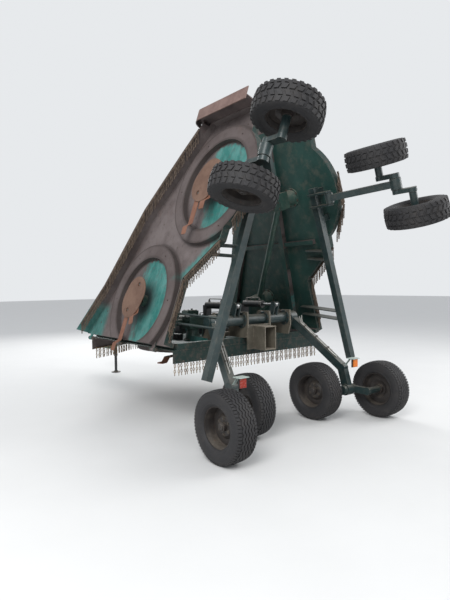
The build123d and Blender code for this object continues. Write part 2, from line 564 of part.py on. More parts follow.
def centre():
    half = HINGE_X - HINGE_EDGE
    shell = deck_shell(CENTRE_OUTLINE, list(CENTRE_ROTORS.values()), -half, half, FRONT_SKIRT, CENTRE_REAR_SKIRT)
    pieces = [Pos(0, 0, DECK_Z) * shell]
    top = DECK_Z + PLATE
    rear_y = CENTRE_REAR_Y + 5
    for sign in (-1, 1):
        x0, x1 = sorted((sign * 1165, sign * 1235))
        pieces.append(block((x0, rear_y, top), (x1, 3390, top + RIB_H)))
        x0, x1 = sorted((sign * 520, sign * 600))
        pieces.append(block((x0, rear_y, top), (x1, 3780, top + RIB_H)))
        for y in HINGE_STATIONS:
            for off in (-1, 1):
                near = HINGE_BARREL / 2 + SIDE_GAP
                y0, y1 = sorted((y + off * near, y + off * (near + HINGE_LUG)))
                x0, x1 = sorted((sign * 1270, sign * HINGE_X))
                lug = rod((sign * HINGE_X, y0, DECK_Z), (sign * HINGE_X, y1, DECK_Z), HINGE_R)
                arm = block((x0, y0, DECK_Z - 14), (x1, y1, DECK_Z))
                pieces += [lug, arm]
            pieces.append(rod((sign * HINGE_X, y - 75, DECK_Z), (sign * HINGE_X, y + 75, DECK_Z), HINGE_PIN_R))
    pieces.append(block((-1235, rear_y, top), (1235, rear_y + 70, top + RIB_H)))
    pieces.append(block((-1235, 2800, top), (1235, 2870, top + RIB_H)))
    deck = joined(pieces)
    for x, y in CENTRE_ROTORS.values():
        deck = deck - Pos(x, y, DECK_Z) * Cylinder(HUB_HOLE_R, 400)
        deck = deck - block((x - 150, y - 150, top), (x + 150, y + 150, top + 500))
    add("centre_deck", deck)

    frame = []
    for sign in (-1, 1):
        for x in (200, 600):
            x0 = sign * x
            side_plate = make_face(Polyline((x0 - 12, 980, top + RIB_H), (x0 - 12, 1400, top + RIB_H),
                                            (x0 - 12, 1180, ROCKSHAFT_Z + 110), (x0 - 12, 950, ROCKSHAFT_Z + 110),
                                            (x0 - 12, 940, ROCKSHAFT_Z - 100), (x0 - 12, 980, top + RIB_H)))
            bore = rod((x0 - 40, ROCKSHAFT_Y, ROCKSHAFT_Z), (x0 + 40, ROCKSHAFT_Y, ROCKSHAFT_Z), ROCKSHAFT_R + RUNNING_GAP)
            frame.append(extrude(side_plate, 24, dir=(1, 0, 0)) - bore)
    frame.append(block((-600, 1320, top + RIB_H), (600, 1380, top + RIB_H + 60)))
    frame.append(block((-200, 955, 965), (200, 975, 1290)))
    frame.append(block((-100, 730, 965), (100, 965, 1275)) - block((-88, 700, 977), (88, 940, 1263)))
    add("rear_frame", joined(frame))

    boxes = [gearbox(x, y, top, SHAFT_RISE - PLATE) for x, y in CENTRE_ROTORS.values()]
    zc = DECK_Z + SHAFT_RISE
    (rear_x, drive_y), (front_x, front_y) = CENTRE_ROTORS.values()
    splitter = block((-110, drive_y - 60, top), (110, SHAFT_Y + 90, zc + 90))
    line = block((-90, front_y - 90, top), (90, front_y + 90, zc + 90))
    shafts = [rod((0, SHAFT_Y + 80, zc), (0, front_y - 80, zc), 42),
              rod((-100, drive_y, zc), (rear_x + 100, drive_y, zc), 36),
              rod((80, front_y, zc), (front_x - 100, front_y, zc), 36)]
    for sign in (-1, 1):
        inner_x = sign * (SHAFT_START - 10)
        outer_x = sign * (SHAFT_GUARD_END + 10)
        guard = rod((sign * 100, SHAFT_Y, zc), (sign * SHAFT_GUARD_END, SHAFT_Y, zc), SHAFT_GUARD_R)
        bore = rod((inner_x, SHAFT_Y, zc), (outer_x, SHAFT_Y, zc), SHAFT_R + RUNNING_GAP)
        shafts.append(guard - bore)
    add("centre_gearboxes", joined(boxes + [splitter, line] + shafts))

    step = PLATE + RAIL_THICK / 2 + RUNNING_GAP
    rear = [(x, CENTRE_REAR_Y + step, DECK_Z - CENTRE_REAR_SKIRT + CHAIN_INSET) for x in (-1290, 0, 1290)]
    front = [(x, y, DECK_Z - FRONT_SKIRT + CHAIN_INSET) for x, y in inset(CENTRE_CHAIN_EDGE, step)]
    runs = curtains(rear, CHAIN_DROP + 15, (0, 0, 1)) + curtains(front, CHAIN_DROP, (0, 0, 1))
    add("centre_chains", Compound(runs))


def rotors():
    for name, (x, y) in CENTRE_ROTORS.items():
        turn = 20.0 if name == "centre_rear" else 75.0
        add(f"rotor_{name}", Pos(x, y, DECK_Z) * rotor((turn, turn + 180), turn))


def cylinders():
    y = FOLD_CYL_Y
    eye_x, _, z = wing_point(FOLD_LUG_S, y, FOLD_LUG_N)
    body = rod((BARREL_START, y, z), (BARREL_END, y, z), CYL_R)
    bore = rod((BARREL_START + 15, y, z), (BARREL_END - 40, y, z), CYL_BORE_R)
    gland = rod((BARREL_END - 60, y, z), (BARREL_END + 5, y, z), ROD_R + RUNNING_GAP)
    foot = block((BARREL_START, y - 60, DECK_Z + PLATE), (BARREL_START + 70, y + 60, z))
    barrel = body + foot - bore - gland
    add("fold_cylinders", Compound([barrel, mirrored(barrel)]))
    bar = rod((ROD_START, y, z), (eye_x, y, z), ROD_R)
    eye = rod((eye_x, y - FOLD_EYE_HALF, z), (eye_x, y + FOLD_EYE_HALF, z), FOLD_EYE_R)
    pin = rod((eye_x, y - FOLD_EYE_HALF - 3, z), (eye_x, y + FOLD_EYE_HALF + 3, z), FOLD_PIN_R)
    shaft_x, _, shaft_z = wing_point(SHAFT_END_S, 0, SHAFT_RISE)
    ball = Pos(shaft_x, SHAFT_Y, shaft_z) * Sphere(30)
    tube = rod((SHAFT_START, SHAFT_Y, shaft_z), (shaft_x, SHAFT_Y, shaft_z), SHAFT_R)
    for side in SIDES:
        add(f"fold_rod_{side}", on_side(bar + eye + pin, side))
        add(f"cross_shaft_{side}", on_side(ball + tube, side))
    lean = math.radians(LEVER_LEAN)
    tip_y = ROCKSHAFT_Y - LEVER_R * math.sin(lean)
    tip_z = ROCKSHAFT_Z + LEVER_R * math.cos(lean)
    pin_rise = LEVER_R * (1 - math.cos(lean)) + LIFT_SLOT_GAP
    lift_barrels, lift_rods = [], []
    for sign in (-1, 1):
        x = sign * LEVER_X
        body = rod((x, tip_y + 250, tip_z), (x, tip_y + 640, tip_z), 48)
        bore = rod((x, tip_y + 270, tip_z), (x, tip_y + 625, tip_z), 38)
        gland = rod((x, tip_y + 240, tip_z), (x, tip_y + 280, tip_z), LIFT_ROD_R + RUNNING_GAP)
        foot = block((x - 45, tip_y + 600, DECK_Z + PLATE), (x + 45, tip_y + 680, tip_z))
        lift_barrels.append(body + foot - bore - gland)
        eye = rod((x - LIFT_EYE_HALF, tip_y, tip_z), (x + LIFT_EYE_HALF, tip_y, tip_z), LIFT_EYE_R)
        ends = [rod((x - 20, tip_y, tip_z + up), (x + 20, tip_y, tip_z + up), LIFT_PIN_R + LIFT_SLOT_GAP)
                for up in (0.0, pin_rise)]
        side = LIFT_PIN_R + LIFT_SLOT_GAP
        slot = ends[0] + ends[1] + block((x - 20, tip_y - side, tip_z), (x + 20, tip_y + side, tip_z + pin_rise))
        bar = rod((x, tip_y + 34, tip_z), (x, tip_y + 430, tip_z), LIFT_ROD_R)
        lift_rods.append(eye + bar - slot)
    add("lift_cylinders", Compound(lift_barrels))
    add("lift_rods", Compound(lift_rods))


def front_end():
    tongue_end = TONGUE_Y + TONGUE_LEN
    pieces = []
    for sign in (-1, 1):
        root = (sign * DRAWBAR_ROOT_X, DRAWBAR_ROOT_Y, DRAWBAR_ROOT_Z + DRAWBAR_ROOT_RISE)
        pieces.append(beam(root, (sign * 45, TONGUE_Y + 30, TONGUE_Z), 90, 130))
        pieces.append(block((sign * DRAWBAR_ROOT_X - 50, DRAWBAR_ROOT_Y - 160, DRAWBAR_ROOT_Z),
                            (sign * DRAWBAR_ROOT_X + 50, DRAWBAR_ROOT_Y + 20, DRAWBAR_ROOT_Z + 160)))
    pieces.append(block((-70, TONGUE_Y - 60, TONGUE_Z - 65), (70, tongue_end, TONGUE_Z + 65)))
    t = 0.42
    tie_y = DRAWBAR_ROOT_Y + (TONGUE_Y - DRAWBAR_ROOT_Y) * t
    tie_z = DRAWBAR_ROOT_Z + DRAWBAR_ROOT_RISE + (TONGUE_Z - DRAWBAR_ROOT_Z - DRAWBAR_ROOT_RISE) * t
    tie_x = DRAWBAR_ROOT_X * (1 - t)
    pieces.append(block((-tie_x, tie_y - 40, tie_z - 40), (tie_x, tie_y + 40, tie_z + 20)))
    rest_top = TONGUE_Z + 230 - SHAFT_GUARD_R - 2
    pieces.append(block((-12, tongue_end - 200, TONGUE_Z + 65), (12, tongue_end - 160, rest_top)))
    pieces.append(block((-60, tongue_end - 215, TONGUE_Z + 150), (60, tongue_end - 145, TONGUE_Z + 162)))
    add("drawbar", joined(pieces))
    eye_y = tongue_end + 150
    shank = block((-40, tongue_end, TONGUE_Z - 35), (40, eye_y, TONGUE_Z + 35))
    flange = block((-70, tongue_end, TONGUE_Z - 65), (70, tongue_end + 25, TONGUE_Z + 65))
    eye = Pos(0, eye_y, TONGUE_Z) * Cylinder(HITCH_EYE_R, HITCH_EYE_T)
    clear = Pos(0, eye_y, TONGUE_Z) * (Cylinder(HITCH_EYE_R + 10, 200) - Cylinder(HITCH_EYE_R + 12, HITCH_EYE_T))
    hole = Pos(0, eye_y, TONGUE_Z) * Cylinder(HITCH_BORE_R, 100)
    add("hitch_eye", flange + (shank - clear) + eye - hole)
    zc = DECK_Z + SHAFT_RISE
    a = (0, 3420, zc)
    b = (0, tongue_end - 120, TONGUE_Z + 230)
    guard = rod(a, b, SHAFT_GUARD_R)
    stub = rod((0, CENTRE_ROTORS["centre_front"][1] + 90 + RUNNING_GAP, zc), (0, 3440, zc), 38)
    yoke = rod(b, (0, b[1] + 110, b[2]), 42) - rod((0, b[1] + 30, b[2]), (0, b[1] + 120, b[2]), PTO_BORE_R)
    add("pto_shaft", guard + stub + yoke)
    foot = Pos(JACK_X, JACK_Y, 6) * Cylinder(95, 12)
    inner = rod((JACK_X, JACK_Y, 12), (JACK_X, JACK_Y, 420), 28)
    outer = rod((JACK_X, JACK_Y, 360), (JACK_X, JACK_Y, 960), 36)
    head = Pos(JACK_X, JACK_Y, 985) * Cylinder(46, 50)
    crank = rod((JACK_X, JACK_Y, 985), (JACK_X + 150, JACK_Y, 985), 9)
    grip = rod((JACK_X + 150, JACK_Y, 975), (JACK_X + 150, JACK_Y, 1080), 12)
    clamp = block((70 + RUNNING_GAP, JACK_Y - 40, TONGUE_Z - 50), (JACK_X, JACK_Y + 40, TONGUE_Z + 50))
    add("parking_jack", joined([foot, inner, outer, head, crank, grip, clamp]))


ground_gear()
lift_axle()
wings()
centre()
rotors()
cylinders()
front_end()

os.makedirs("parts", exist_ok=True)
for name, shape in PARTS.items():
    export_step(Pos(-FRAME_SHIFT_X, -FRAME_SHIFT_Y, 0) * shape, f"parts/{name}.step")
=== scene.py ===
import json
import math
import random

import bmesh
import bpy
from mathutils import Matrix, Vector

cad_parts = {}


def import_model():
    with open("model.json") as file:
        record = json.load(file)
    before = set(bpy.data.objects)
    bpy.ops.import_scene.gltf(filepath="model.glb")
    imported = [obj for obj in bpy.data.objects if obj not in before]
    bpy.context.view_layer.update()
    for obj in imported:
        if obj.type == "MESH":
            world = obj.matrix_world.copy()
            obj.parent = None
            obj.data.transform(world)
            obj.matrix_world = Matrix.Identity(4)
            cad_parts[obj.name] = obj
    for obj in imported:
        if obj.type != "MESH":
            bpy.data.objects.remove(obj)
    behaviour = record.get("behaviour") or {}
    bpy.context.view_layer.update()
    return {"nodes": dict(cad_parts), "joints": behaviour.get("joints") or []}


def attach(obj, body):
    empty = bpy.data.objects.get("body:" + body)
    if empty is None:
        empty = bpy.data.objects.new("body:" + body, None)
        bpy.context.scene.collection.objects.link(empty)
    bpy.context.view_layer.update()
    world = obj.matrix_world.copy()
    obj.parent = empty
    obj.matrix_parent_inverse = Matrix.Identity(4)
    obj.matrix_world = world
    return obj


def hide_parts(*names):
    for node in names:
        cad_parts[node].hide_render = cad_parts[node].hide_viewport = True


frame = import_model()

# Layout: metres, x to the machine's right, y the way it travels from the outer rear wheels' axle line.
# The part's own origin is at the middle of its footprint, so at() moves a layout point there.
JOINTS = {joint["name"]: joint for joint in frame["joints"]}
NODES = frame["nodes"]
SIDES = {"left": -1, "right": 1}
SHIFT = Vector((0.0354, -2.4803, 0.0))
DECK_Z = 1.030
PLATE = 0.008
FRONT_SKIRT = 0.200
WING_REAR_SKIRT = 0.090
CENTRE_REAR_SKIRT = 0.150
CHAIN_INSET = 0.012
CHAIN_DROP = 0.150
CHAIN_PITCH = 0.085
RAIL_THICK = 0.024
RAIL_GAP = 0.0003
RAIL_TRIM = 0.008
CENTRE_REAR_Y = 1.060
WING_ROTORS = {"inner": (0.620, 1.960), "outer": (2.140, 0.970)}
CENTRE_ROTORS = {"centre_rear": (-0.450, 1.860), "centre_front": (0.450, 3.220)}
WING_EDGE = [(0.170, 3.3697), (0.800, 2.910), (1.920, 2.340), (2.330, 2.010), (2.720, 1.690), (3.050, 1.4034)]
CENTRE_EDGE = [(-1.250, 3.428), (-0.980, 3.560), (-0.300, 4.030), (0.700, 4.030), (0.980, 3.900),
               (1.270, 3.6012)]
WING_REAR_INNER = [(1.360, 0.500), (0.900, 1.040), (0.230, 1.056)]
REAR_ARC = (-135, -105, -75)
REAR_ARC_STEP = 30
RING_IN_R = 0.600
RING_OUT_R = 0.790
DISC_DROP = 0.165
DISC_THICK = 0.016
PIVOT_R = 0.190
ROTOR_TURN = {"inner_left": 160, "outer_left": 143, "inner_right": 95, "outer_right": 40,
              "centre_rear": 20, "centre_front": 75}
WING_MIDDLE = (1.500, 1.700)
CENTRE_MIDDLE = (0.0, 2.500)
UP = Vector((0, 0, 1))
EAST = Vector((1, 0, 0))
NORTH = Vector((0, 1, 0))


def at(x, y, z):
    return Vector((x, y, z)) + SHIFT


def joint_place(name):
    joint = JOINTS[name]
    return Vector(joint["pos_m"]), Vector(joint["axis"]).normalized()


class Wing:
    """The folded wing's own flat frame: s outwards from the hinge, y as the machine's, n out of its top."""

    def __init__(self, side):
        hinge = joint_place(f"wing_fold_{side}")[0]
        self.origin = Vector((hinge.x, SHIFT.y, hinge.z))
        self.n = joint_place(f"rotor_inner_{side}_spin")[1]
        self.s = joint_place(f"wing_wheel_outer_{side}")[1]

    def point(self, s, y, n):
        return self.origin + self.s * s + NORTH * y + self.n * n


WINGS = {side: Wing(side) for side in SIDES}


# Materials

class Look:
    """A node material built from short calls, each of which gives back an output socket."""

    def __init__(self, name):
        self.material = bpy.data.materials.new(name)
        self.material.use_nodes = True
        self.tree = self.material.node_tree
        self.shader = self.tree.nodes["Principled BSDF"]
        self.coords = self.node("ShaderNodeTexCoord")
        self.geometry = self.node("ShaderNodeNewGeometry")
        self.place = self.coords.outputs["Object"]
        self.facing = self.coords.outputs["Normal"]

    def node(self, kind, **settings):
        made = self.tree.nodes.new(kind)
        for key, value in settings.items():
            setattr(made, key, value)
        return made

    def feed(self, socket, value):
        if isinstance(value, bpy.types.NodeSocket):
            self.tree.links.new(value, socket)
        else:
            socket.default_value = value

    def math(self, operation, a, b=0.0, c=0.0):
        made = self.node("ShaderNodeMath", operation=operation)
        for socket, value in zip(made.inputs, (a, b, c)):
            self.feed(socket, value)
        return made.outputs[0]

    def vector(self, operation, a, b=(0, 0, 0)):
        made = self.node("ShaderNodeVectorMath", operation=operation)
        self.feed(made.inputs[0], a)
        self.feed(made.inputs[1], b)
        return made.outputs["Value" if operation == "DOT_PRODUCT" else "Vector"]

    def times(self, a, b):
        return self.math("MULTIPLY", a, b)

    def scaled(self, a, b, c):
        return self.math("MULTIPLY_ADD", a, b, c)

    def plus(self, a, b):
        return self.math("ADD", a, b)

    def minus(self, a, b):
        return self.math("SUBTRACT", a, b)

    def inverse(self, a):
        return self.minus(1.0, a)

    def dot(self, a, b):
        return self.vector("DOT_PRODUCT", a, b)

    def noise(self, scale, detail=6.0, roughness=0.6, stretch=(1, 1, 1), where=None):
        made = self.node("ShaderNodeTexNoise")
        self.feed(made.inputs["Vector"], self.vector("MULTIPLY", where or self.place, stretch))
        made.inputs["Scale"].default_value = scale
        made.inputs["Detail"].default_value = detail
        made.inputs["Roughness"].default_value = roughness
        return made.outputs["Fac"]

    def step(self, value, low, high):
        made = self.node("ShaderNodeMapRange", interpolation_type="SMOOTHSTEP")
        self.feed(made.inputs["Value"], value)
        self.feed(made.inputs["From Min"], low)
        self.feed(made.inputs["From Max"], high)
        return made.outputs["Result"]

    def below(self, value, low, high):
        return self.inverse(self.step(value, low, high))

    def mix(self, share, a, b):
        made = self.node("ShaderNodeMix", data_type="RGBA")
        self.feed(made.inputs["Factor"], share)
        for key, value in (("A", a), ("B", b)):
            socket = [s for s in made.inputs if s.name == key and s.type == "RGBA"][0]
            self.feed(socket, (*value, 1.0) if isinstance(value, tuple) else value)
        return [s for s in made.outputs if s.type == "RGBA"][0]

    def stain(self, tone, value, low, high, share, colour):
        """Lays a colour over a tone where the value is high."""
        return self.mix(self.times(self.step(value, low, high), share), tone, colour)

    def finish(self, colour, roughness, metal=0.0, height=None, bump=0.002, strength=0.6):
        self.feed(self.shader.inputs["Base Color"], (*colour, 1.0) if isinstance(colour, tuple) else colour)
        self.feed(self.shader.inputs["Roughness"], roughness)
        self.shader.inputs["Metallic"].default_value = metal
        if height is not None:
            made = self.node("ShaderNodeBump")
            made.inputs["Strength"].default_value = strength
            made.inputs["Distance"].default_value = bump
            self.feed(made.inputs["Height"], height)
            self.feed(self.shader.inputs["Normal"], made.outputs["Normal"])
        return self.material

    def edges(self, radius=0.007, low=0.03, high=0.22):
        """Mask along edges, where a rounded edge would turn away from the flat face: wear, and on painted
        parts also a painted highlight.
        """
        rounded = self.node("ShaderNodeBevel", samples=6)
        rounded.inputs["Radius"].default_value = radius
        alike = self.dot(rounded.outputs["Normal"], self.geometry.outputs["Normal"])
        return self.step(self.inverse(alike), low, high)

    def upward(self, low=0.2, high=0.95):
        """Share of dust on faces that look up."""
        return self.step(self.dot(self.facing, (0, 0, 1)), low, high)


GREEN = (0.012, 0.075, 0.055)
DARK_GREEN = (0.011, 0.024, 0.025)
TOP_GREEN = (0.012, 0.042, 0.036)
TEAL = (0.014, 0.140, 0.122)
PALE_TEAL = (0.078, 0.235, 0.215)
EARTH = (0.092, 0.072, 0.069)
PALE_EARTH = (0.152, 0.126, 0.122)
DARK_EARTH = (0.050, 0.037, 0.034)
DUST = (0.300, 0.255, 0.200)
RUST = (0.190, 0.070, 0.032)
DARK_RUST = (0.075, 0.032, 0.020)
RUBBER = (0.010, 0.010, 0.012)
NEARLY_BLACK = (0.012, 0.014, 0.016)
BROWN_STREAK = (0.150, 0.085, 0.060)
RING_STAIN = (0.050, 0.035, 0.032)
PAINTED_LIP_SHADE = (0.030, 0.022, 0.020)
RUBBED_PLATE = (0.230, 0.155, 0.120)
PLATE_DUST = (0.150, 0.125, 0.098)
PAINTED_SHADE_SKIRT_GREEN = (0.010, 0.030, 0.026)
RIM_DIRT = (0.085, 0.064, 0.052)
SKID_WALL = (0.060, 0.046, 0.045)
SKID_DUST = (0.115, 0.088, 0.084)
SOLE_RUST = (0.125, 0.074, 0.062)
SOLE_PALE = (0.190, 0.122, 0.104)
RUBBED_SOLE = (0.225, 0.155, 0.125)
RUBBED_BLADE = (0.250, 0.160, 0.115)
TYRE_DUST = (0.130, 0.112, 0.096)
TYRE_SCUFF = (0.140, 0.128, 0.116)

# Where paint is bare under a wing: along its slanted rear edge, and in its front inner corner
REAR_EDGE_POINT = (1.36, 0.50)
REAR_EDGE_OUT = (0.761, 0.649)
REAR_BARE_DEPTH = (0.15, 0.22)
REAR_BARE_START = (0.86, 0.96)
REAR_BARE_END = (1.40, 1.50)
CORNER_BARE_Y = (2.86, 3.02)
CORNER_BARE_S = (0.42, 0.60)

# Measured from a rotor's axis: bare paint in the well, shadow at the hub, the nearest skirt, a lip's width,
# and the start and slope of the bare paint, rearward; then the level of a skid's worn sole
BARE_R = (0.545, 0.590)
HUB_SHADE_R = (0.10, 0.36)
SKIRT_FROM = (0.783, 0.788)
LIP_WIDTH = (0.012, 0.045)
BARE_FROM = (-0.24, -0.04)
BARE_SLOPE = 0.12
SOLE_LEVEL = (-0.286, -0.278)


def painted(name, paint, dusty=0.4, rusty=0.3, gloss=0.42, edge=(0.230, 0.205, 0.170), edge_wear_and_highlight_share=0.55):
    """Machine paint with dust on its upper faces, rust where it is chipped, and paler edges that are partly
    wear, partly a painted highlight.
    """
    look = Look(name)
    broad = look.noise(3.0)
    fine = look.noise(60.0, 8.0, 0.7)
    patch = look.noise(11.0, 9.0, 0.72)
    tone = look.mix(look.step(broad, 0.3, 0.7), paint, tuple(min(1.0, c * 1.5 + 0.004) for c in paint))
    film = look.times(look.step(patch, 0.42, 0.74), 0.45)
    dust_share = look.times(look.plus(look.upward(), film), dusty)
    dust_share = look.times(dust_share, look.step(fine, 0.20, 0.65))
    tone = look.mix(look.math("MINIMUM", dust_share, 0.85), tone, DUST)
    chips = look.times(look.step(look.noise(26.0, 10.0, 0.78), 0.62 - 0.05 * rusty, 0.67), rusty)
    tone = look.mix(chips, tone, look.mix(fine, RUST, DARK_RUST))
    # Paler edges: partly wear, partly a painted highlight for light caught along the edges
    edge_marks = look.times(look.edges(), look.step(look.noise(34.0, 8.0, 0.7), 0.40, 0.58))
    tone = look.mix(look.times(edge_marks, edge_wear_and_highlight_share), tone, edge)
    worn = look.math("MAXIMUM", chips, edge_marks)
    rough = look.scaled(dust_share, 0.4, look.scaled(worn, 0.25, gloss))
    height = look.minus(look.times(fine, 0.4), look.times(worn, 0.6))
    return look.finish(tone, rough, height=height, bump=0.0012)


def ring_distance(look, along_s, along_y, centre):
    ds = look.minus(along_s, centre[0])
    dy = look.minus(along_y, centre[1])
    return look.math("SQRT", look.plus(look.times(ds, ds), look.times(dy, dy)))


def deck_look(name, origin, s_axis, n_axis, rotors, middle, bare_spots=False):
    """Deck plate: dark green and dusty above, caked in dry earth below with bare teal in the blade wells;
    painted shade on outer skirt faces, along the ring walls and round each hub.
    """
    look = Look(name)
    moved = look.vector("SUBTRACT", look.place, tuple(origin))
    along_s = look.dot(moved, tuple(s_axis))
    along_y = look.dot(moved, (0, 1, 0))
    under = look.step(look.dot(look.facing, tuple(-n_axis)), -0.35, 0.05)
    broad = look.noise(2.2, 7.0, 0.62)
    clumps = look.noise(14.0, 9.0, 0.7)
    streaks = look.noise(6.0, 8.0, 0.7, (1, 1, 0.35))
    fine = look.noise(90.0, 6.0, 0.7)
    ragged = look.times(look.minus(clumps, 0.5), 0.16)
    earth = look.mix(look.step(broad, 0.32, 0.66), EARTH, PALE_EARTH)
    earth = look.stain(earth, clumps, 0.52, 0.74, 0.7, DARK_EARTH)
    soil_and_shade = look.stain(earth, streaks, 0.55, 0.72, 0.35, BROWN_STREAK)
    teal = look.mix(look.step(streaks, 0.36, 0.66), TEAL, PALE_TEAL)
    teal = look.stain(teal, clumps, 0.50, 0.70, 0.50, EARTH)
    # Side faces turned away from the deck's middle (outer skirt faces) get a darker green, a painted shade,
    # with dirt stains
    sideways = look.inverse(look.math("ABSOLUTE", look.dot(look.facing, tuple(n_axis))))
    away = look.scaled(look.minus(along_s, middle[0]), look.dot(look.facing, tuple(s_axis)),
                       look.times(look.minus(along_y, middle[1]), look.dot(look.facing, (0, 1, 0))))
    outer = look.times(look.step(sideways, 0.55, 0.75), look.step(away, 0.02, 0.08))
    if bare_spots:
        edge_off = look.scaled(look.minus(along_s, REAR_EDGE_POINT[0]), REAR_EDGE_OUT[0],
                               look.times(look.minus(along_y, REAR_EDGE_POINT[1]), REAR_EDGE_OUT[1]))
        rear = look.below(look.plus(edge_off, ragged), *REAR_BARE_DEPTH)
        rear = look.times(rear, look.step(along_s, *REAR_BARE_START))
        rear = look.times(rear, look.below(along_s, *REAR_BARE_END))
        corner = look.times(look.step(look.plus(along_y, ragged), *CORNER_BARE_Y),
                            look.below(along_s, *CORNER_BARE_S))
        soil_and_shade = look.mix(look.times(look.math("MAXIMUM", rear, corner), 0.85), soil_and_shade, teal)
    for centre in rotors:
        far = ring_distance(look, along_s, along_y, centre)
        band = look.times(look.step(far, RING_IN_R - 0.010, RING_IN_R + 0.002),
                          look.below(far, RING_OUT_R - 0.006, RING_OUT_R + 0.012))
        outer = look.times(outer, look.step(far, *SKIRT_FROM))
        soil_and_shade = look.mix(look.times(band, 0.42), soil_and_shade, RING_STAIN)
        # Dark lines along both ring walls: painted shade
        for lip in (RING_IN_R, RING_OUT_R):
            near = look.math("ABSOLUTE", look.minus(far, lip))
            line = look.below(near, *LIP_WIDTH)
            soil_and_shade = look.mix(look.times(line, 0.55), soil_and_shade, PAINTED_LIP_SHADE)
        inside = look.below(look.plus(far, ragged), *BARE_R)
        across = look.scaled(look.minus(along_y, centre[1]), -1.0,
                             look.times(look.minus(along_s, centre[0]), BARE_SLOPE))
        torn = look.times(look.minus(streaks, 0.5), 0.7)
        bare = look.times(inside, look.step(look.plus(across, torn), *BARE_FROM))
        soil_and_shade = look.mix(bare, soil_and_shade, teal)
        # Painted shadow round the hub
        shade = look.below(far, *HUB_SHADE_R)
        soil_and_shade = look.mix(look.times(shade, 0.88), soil_and_shade, NEARLY_BLACK)
    top = look.mix(look.step(broad, 0.3, 0.7), TOP_GREEN, (0.020, 0.064, 0.054))
    top = look.stain(top, look.noise(7.0, 9.0, 0.7), 0.46, 0.70, 0.34, PLATE_DUST)
    # Painted shade: darker green on outer skirt faces, stained with dirt
    top = look.mix(outer, top, look.stain(PAINTED_SHADE_SKIRT_GREEN, clumps, 0.44, 0.66, 0.55, RIM_DIRT))
    tone = look.mix(look.times(under, look.inverse(outer)), top, soil_and_shade)
    edge_marks = look.times(look.edges(0.009), look.step(clumps, 0.36, 0.58))
    tone = look.mix(look.times(edge_marks, 0.5), tone, look.mix(fine, RUBBED_PLATE, DARK_RUST))
    rough = look.scaled(under, 0.34, 0.48)
    height = look.plus(look.times(clumps, 0.8), look.times(fine, 0.25))
    return look.finish(tone, rough, height=height, bump=0.0035)


def skid_look(name, origin, n_axis):
    """End skid: an earthy wall, and a sole worn down to rust."""
    look = Look(name)
    level = look.dot(look.vector("SUBTRACT", look.place, tuple(origin)), tuple(n_axis))
    sole = look.below(level, *SOLE_LEVEL)
    clumps = look.noise(14.0, 9.0, 0.7)
    fine = look.noise(80.0, 7.0, 0.7)
    wall = look.mix(look.step(look.noise(3.0), 0.35, 0.65), SKID_WALL, SKID_DUST)
    rust = look.mix(look.step(look.noise(5.0, 8.0, 0.7), 0.35, 0.65), SOLE_RUST, SOLE_PALE)
    rust = look.mix(look.step(clumps, 0.56, 0.74), rust, DARK_RUST)
    tone = look.mix(sole, wall, rust)
    tone = look.mix(look.times(look.edges(), 0.4), tone, RUBBED_SOLE)
    height = look.plus(look.times(clumps, 0.5), look.times(fine, 0.3))
    return look.finish(tone, look.scaled(fine, 0.2, 0.58), height=height, bump=0.002)


def blade_look(name, low, high):
    """Rusted steel, paler where its edges are rubbed."""
    look = Look(name)
    broad = look.noise(4.0, 7.0, 0.65)
    fine = look.noise(70.0, 7.0, 0.7)
    tone = look.mix(look.step(broad, 0.32, 0.68), low, high)
    tone = look.stain(tone, look.noise(18.0, 8.0, 0.7), 0.56, 0.74, 0.8, DARK_RUST)
    tone = look.mix(look.times(look.edges(0.006), 0.55), tone, RUBBED_BLADE)
    return look.finish(tone, look.scaled(fine, 0.25, 0.56), metal=0.10, height=fine, bump=0.0015)


def tyre_look():
    look = Look("tyre")
    broad = look.noise(5.0)
    fine = look.noise(120.0, 6.0, 0.65)
    tone = look.mix(look.step(fine, 0.3, 0.75), RUBBER, (0.024, 0.023, 0.024))
    dusty = look.times(look.step(broad, 0.40, 0.72), look.step(look.noise(34.0, 8.0, 0.7), 0.35, 0.7))
    tone = look.mix(look.times(dusty, 0.22), tone, TYRE_DUST)
    tone = look.mix(look.times(look.edges(0.004, 0.05, 0.30), 0.30), tone, TYRE_SCUFF)
    return look.finish(tone, look.scaled(dusty, 0.15, 0.70), height=fine, bump=0.0008)


def chain_look(name, low, high):
    look = Look(name)
    fine = look.noise(150.0, 6.0, 0.7)
    tone = look.mix(look.step(look.noise(12.0), 0.35, 0.65), low, high)
    tone = look.stain(tone, fine, 0.52, 0.72, 0.7, DARK_RUST)
    return look.finish(tone, 0.62, metal=0.2, height=fine, bump=0.0005)


def metal_look(name, colour, roughness, metal, grime=0.4):
    look = Look(name)
    fine = look.noise(80.0, 6.0, 0.65)
    spots = look.times(look.step(look.noise(16.0, 8.0, 0.7), 0.50, 0.70), grime)
    tone = look.mix(spots, colour, DARK_EARTH)
    rough = look.scaled(spots, 0.4, look.scaled(fine, 0.12, roughness))
    return look.finish(tone, rough, metal=metal, height=fine, bump=0.0004)


def lens_look(name, colour):
    look = Look(name)
    fine = look.noise(50.0, 5.0, 0.6)
    tone = look.stain(colour, fine, 0.45, 0.8, 0.35, DUST)
    return look.finish(tone, look.scaled(fine, 0.2, 0.16), height=fine, bump=0.0003)


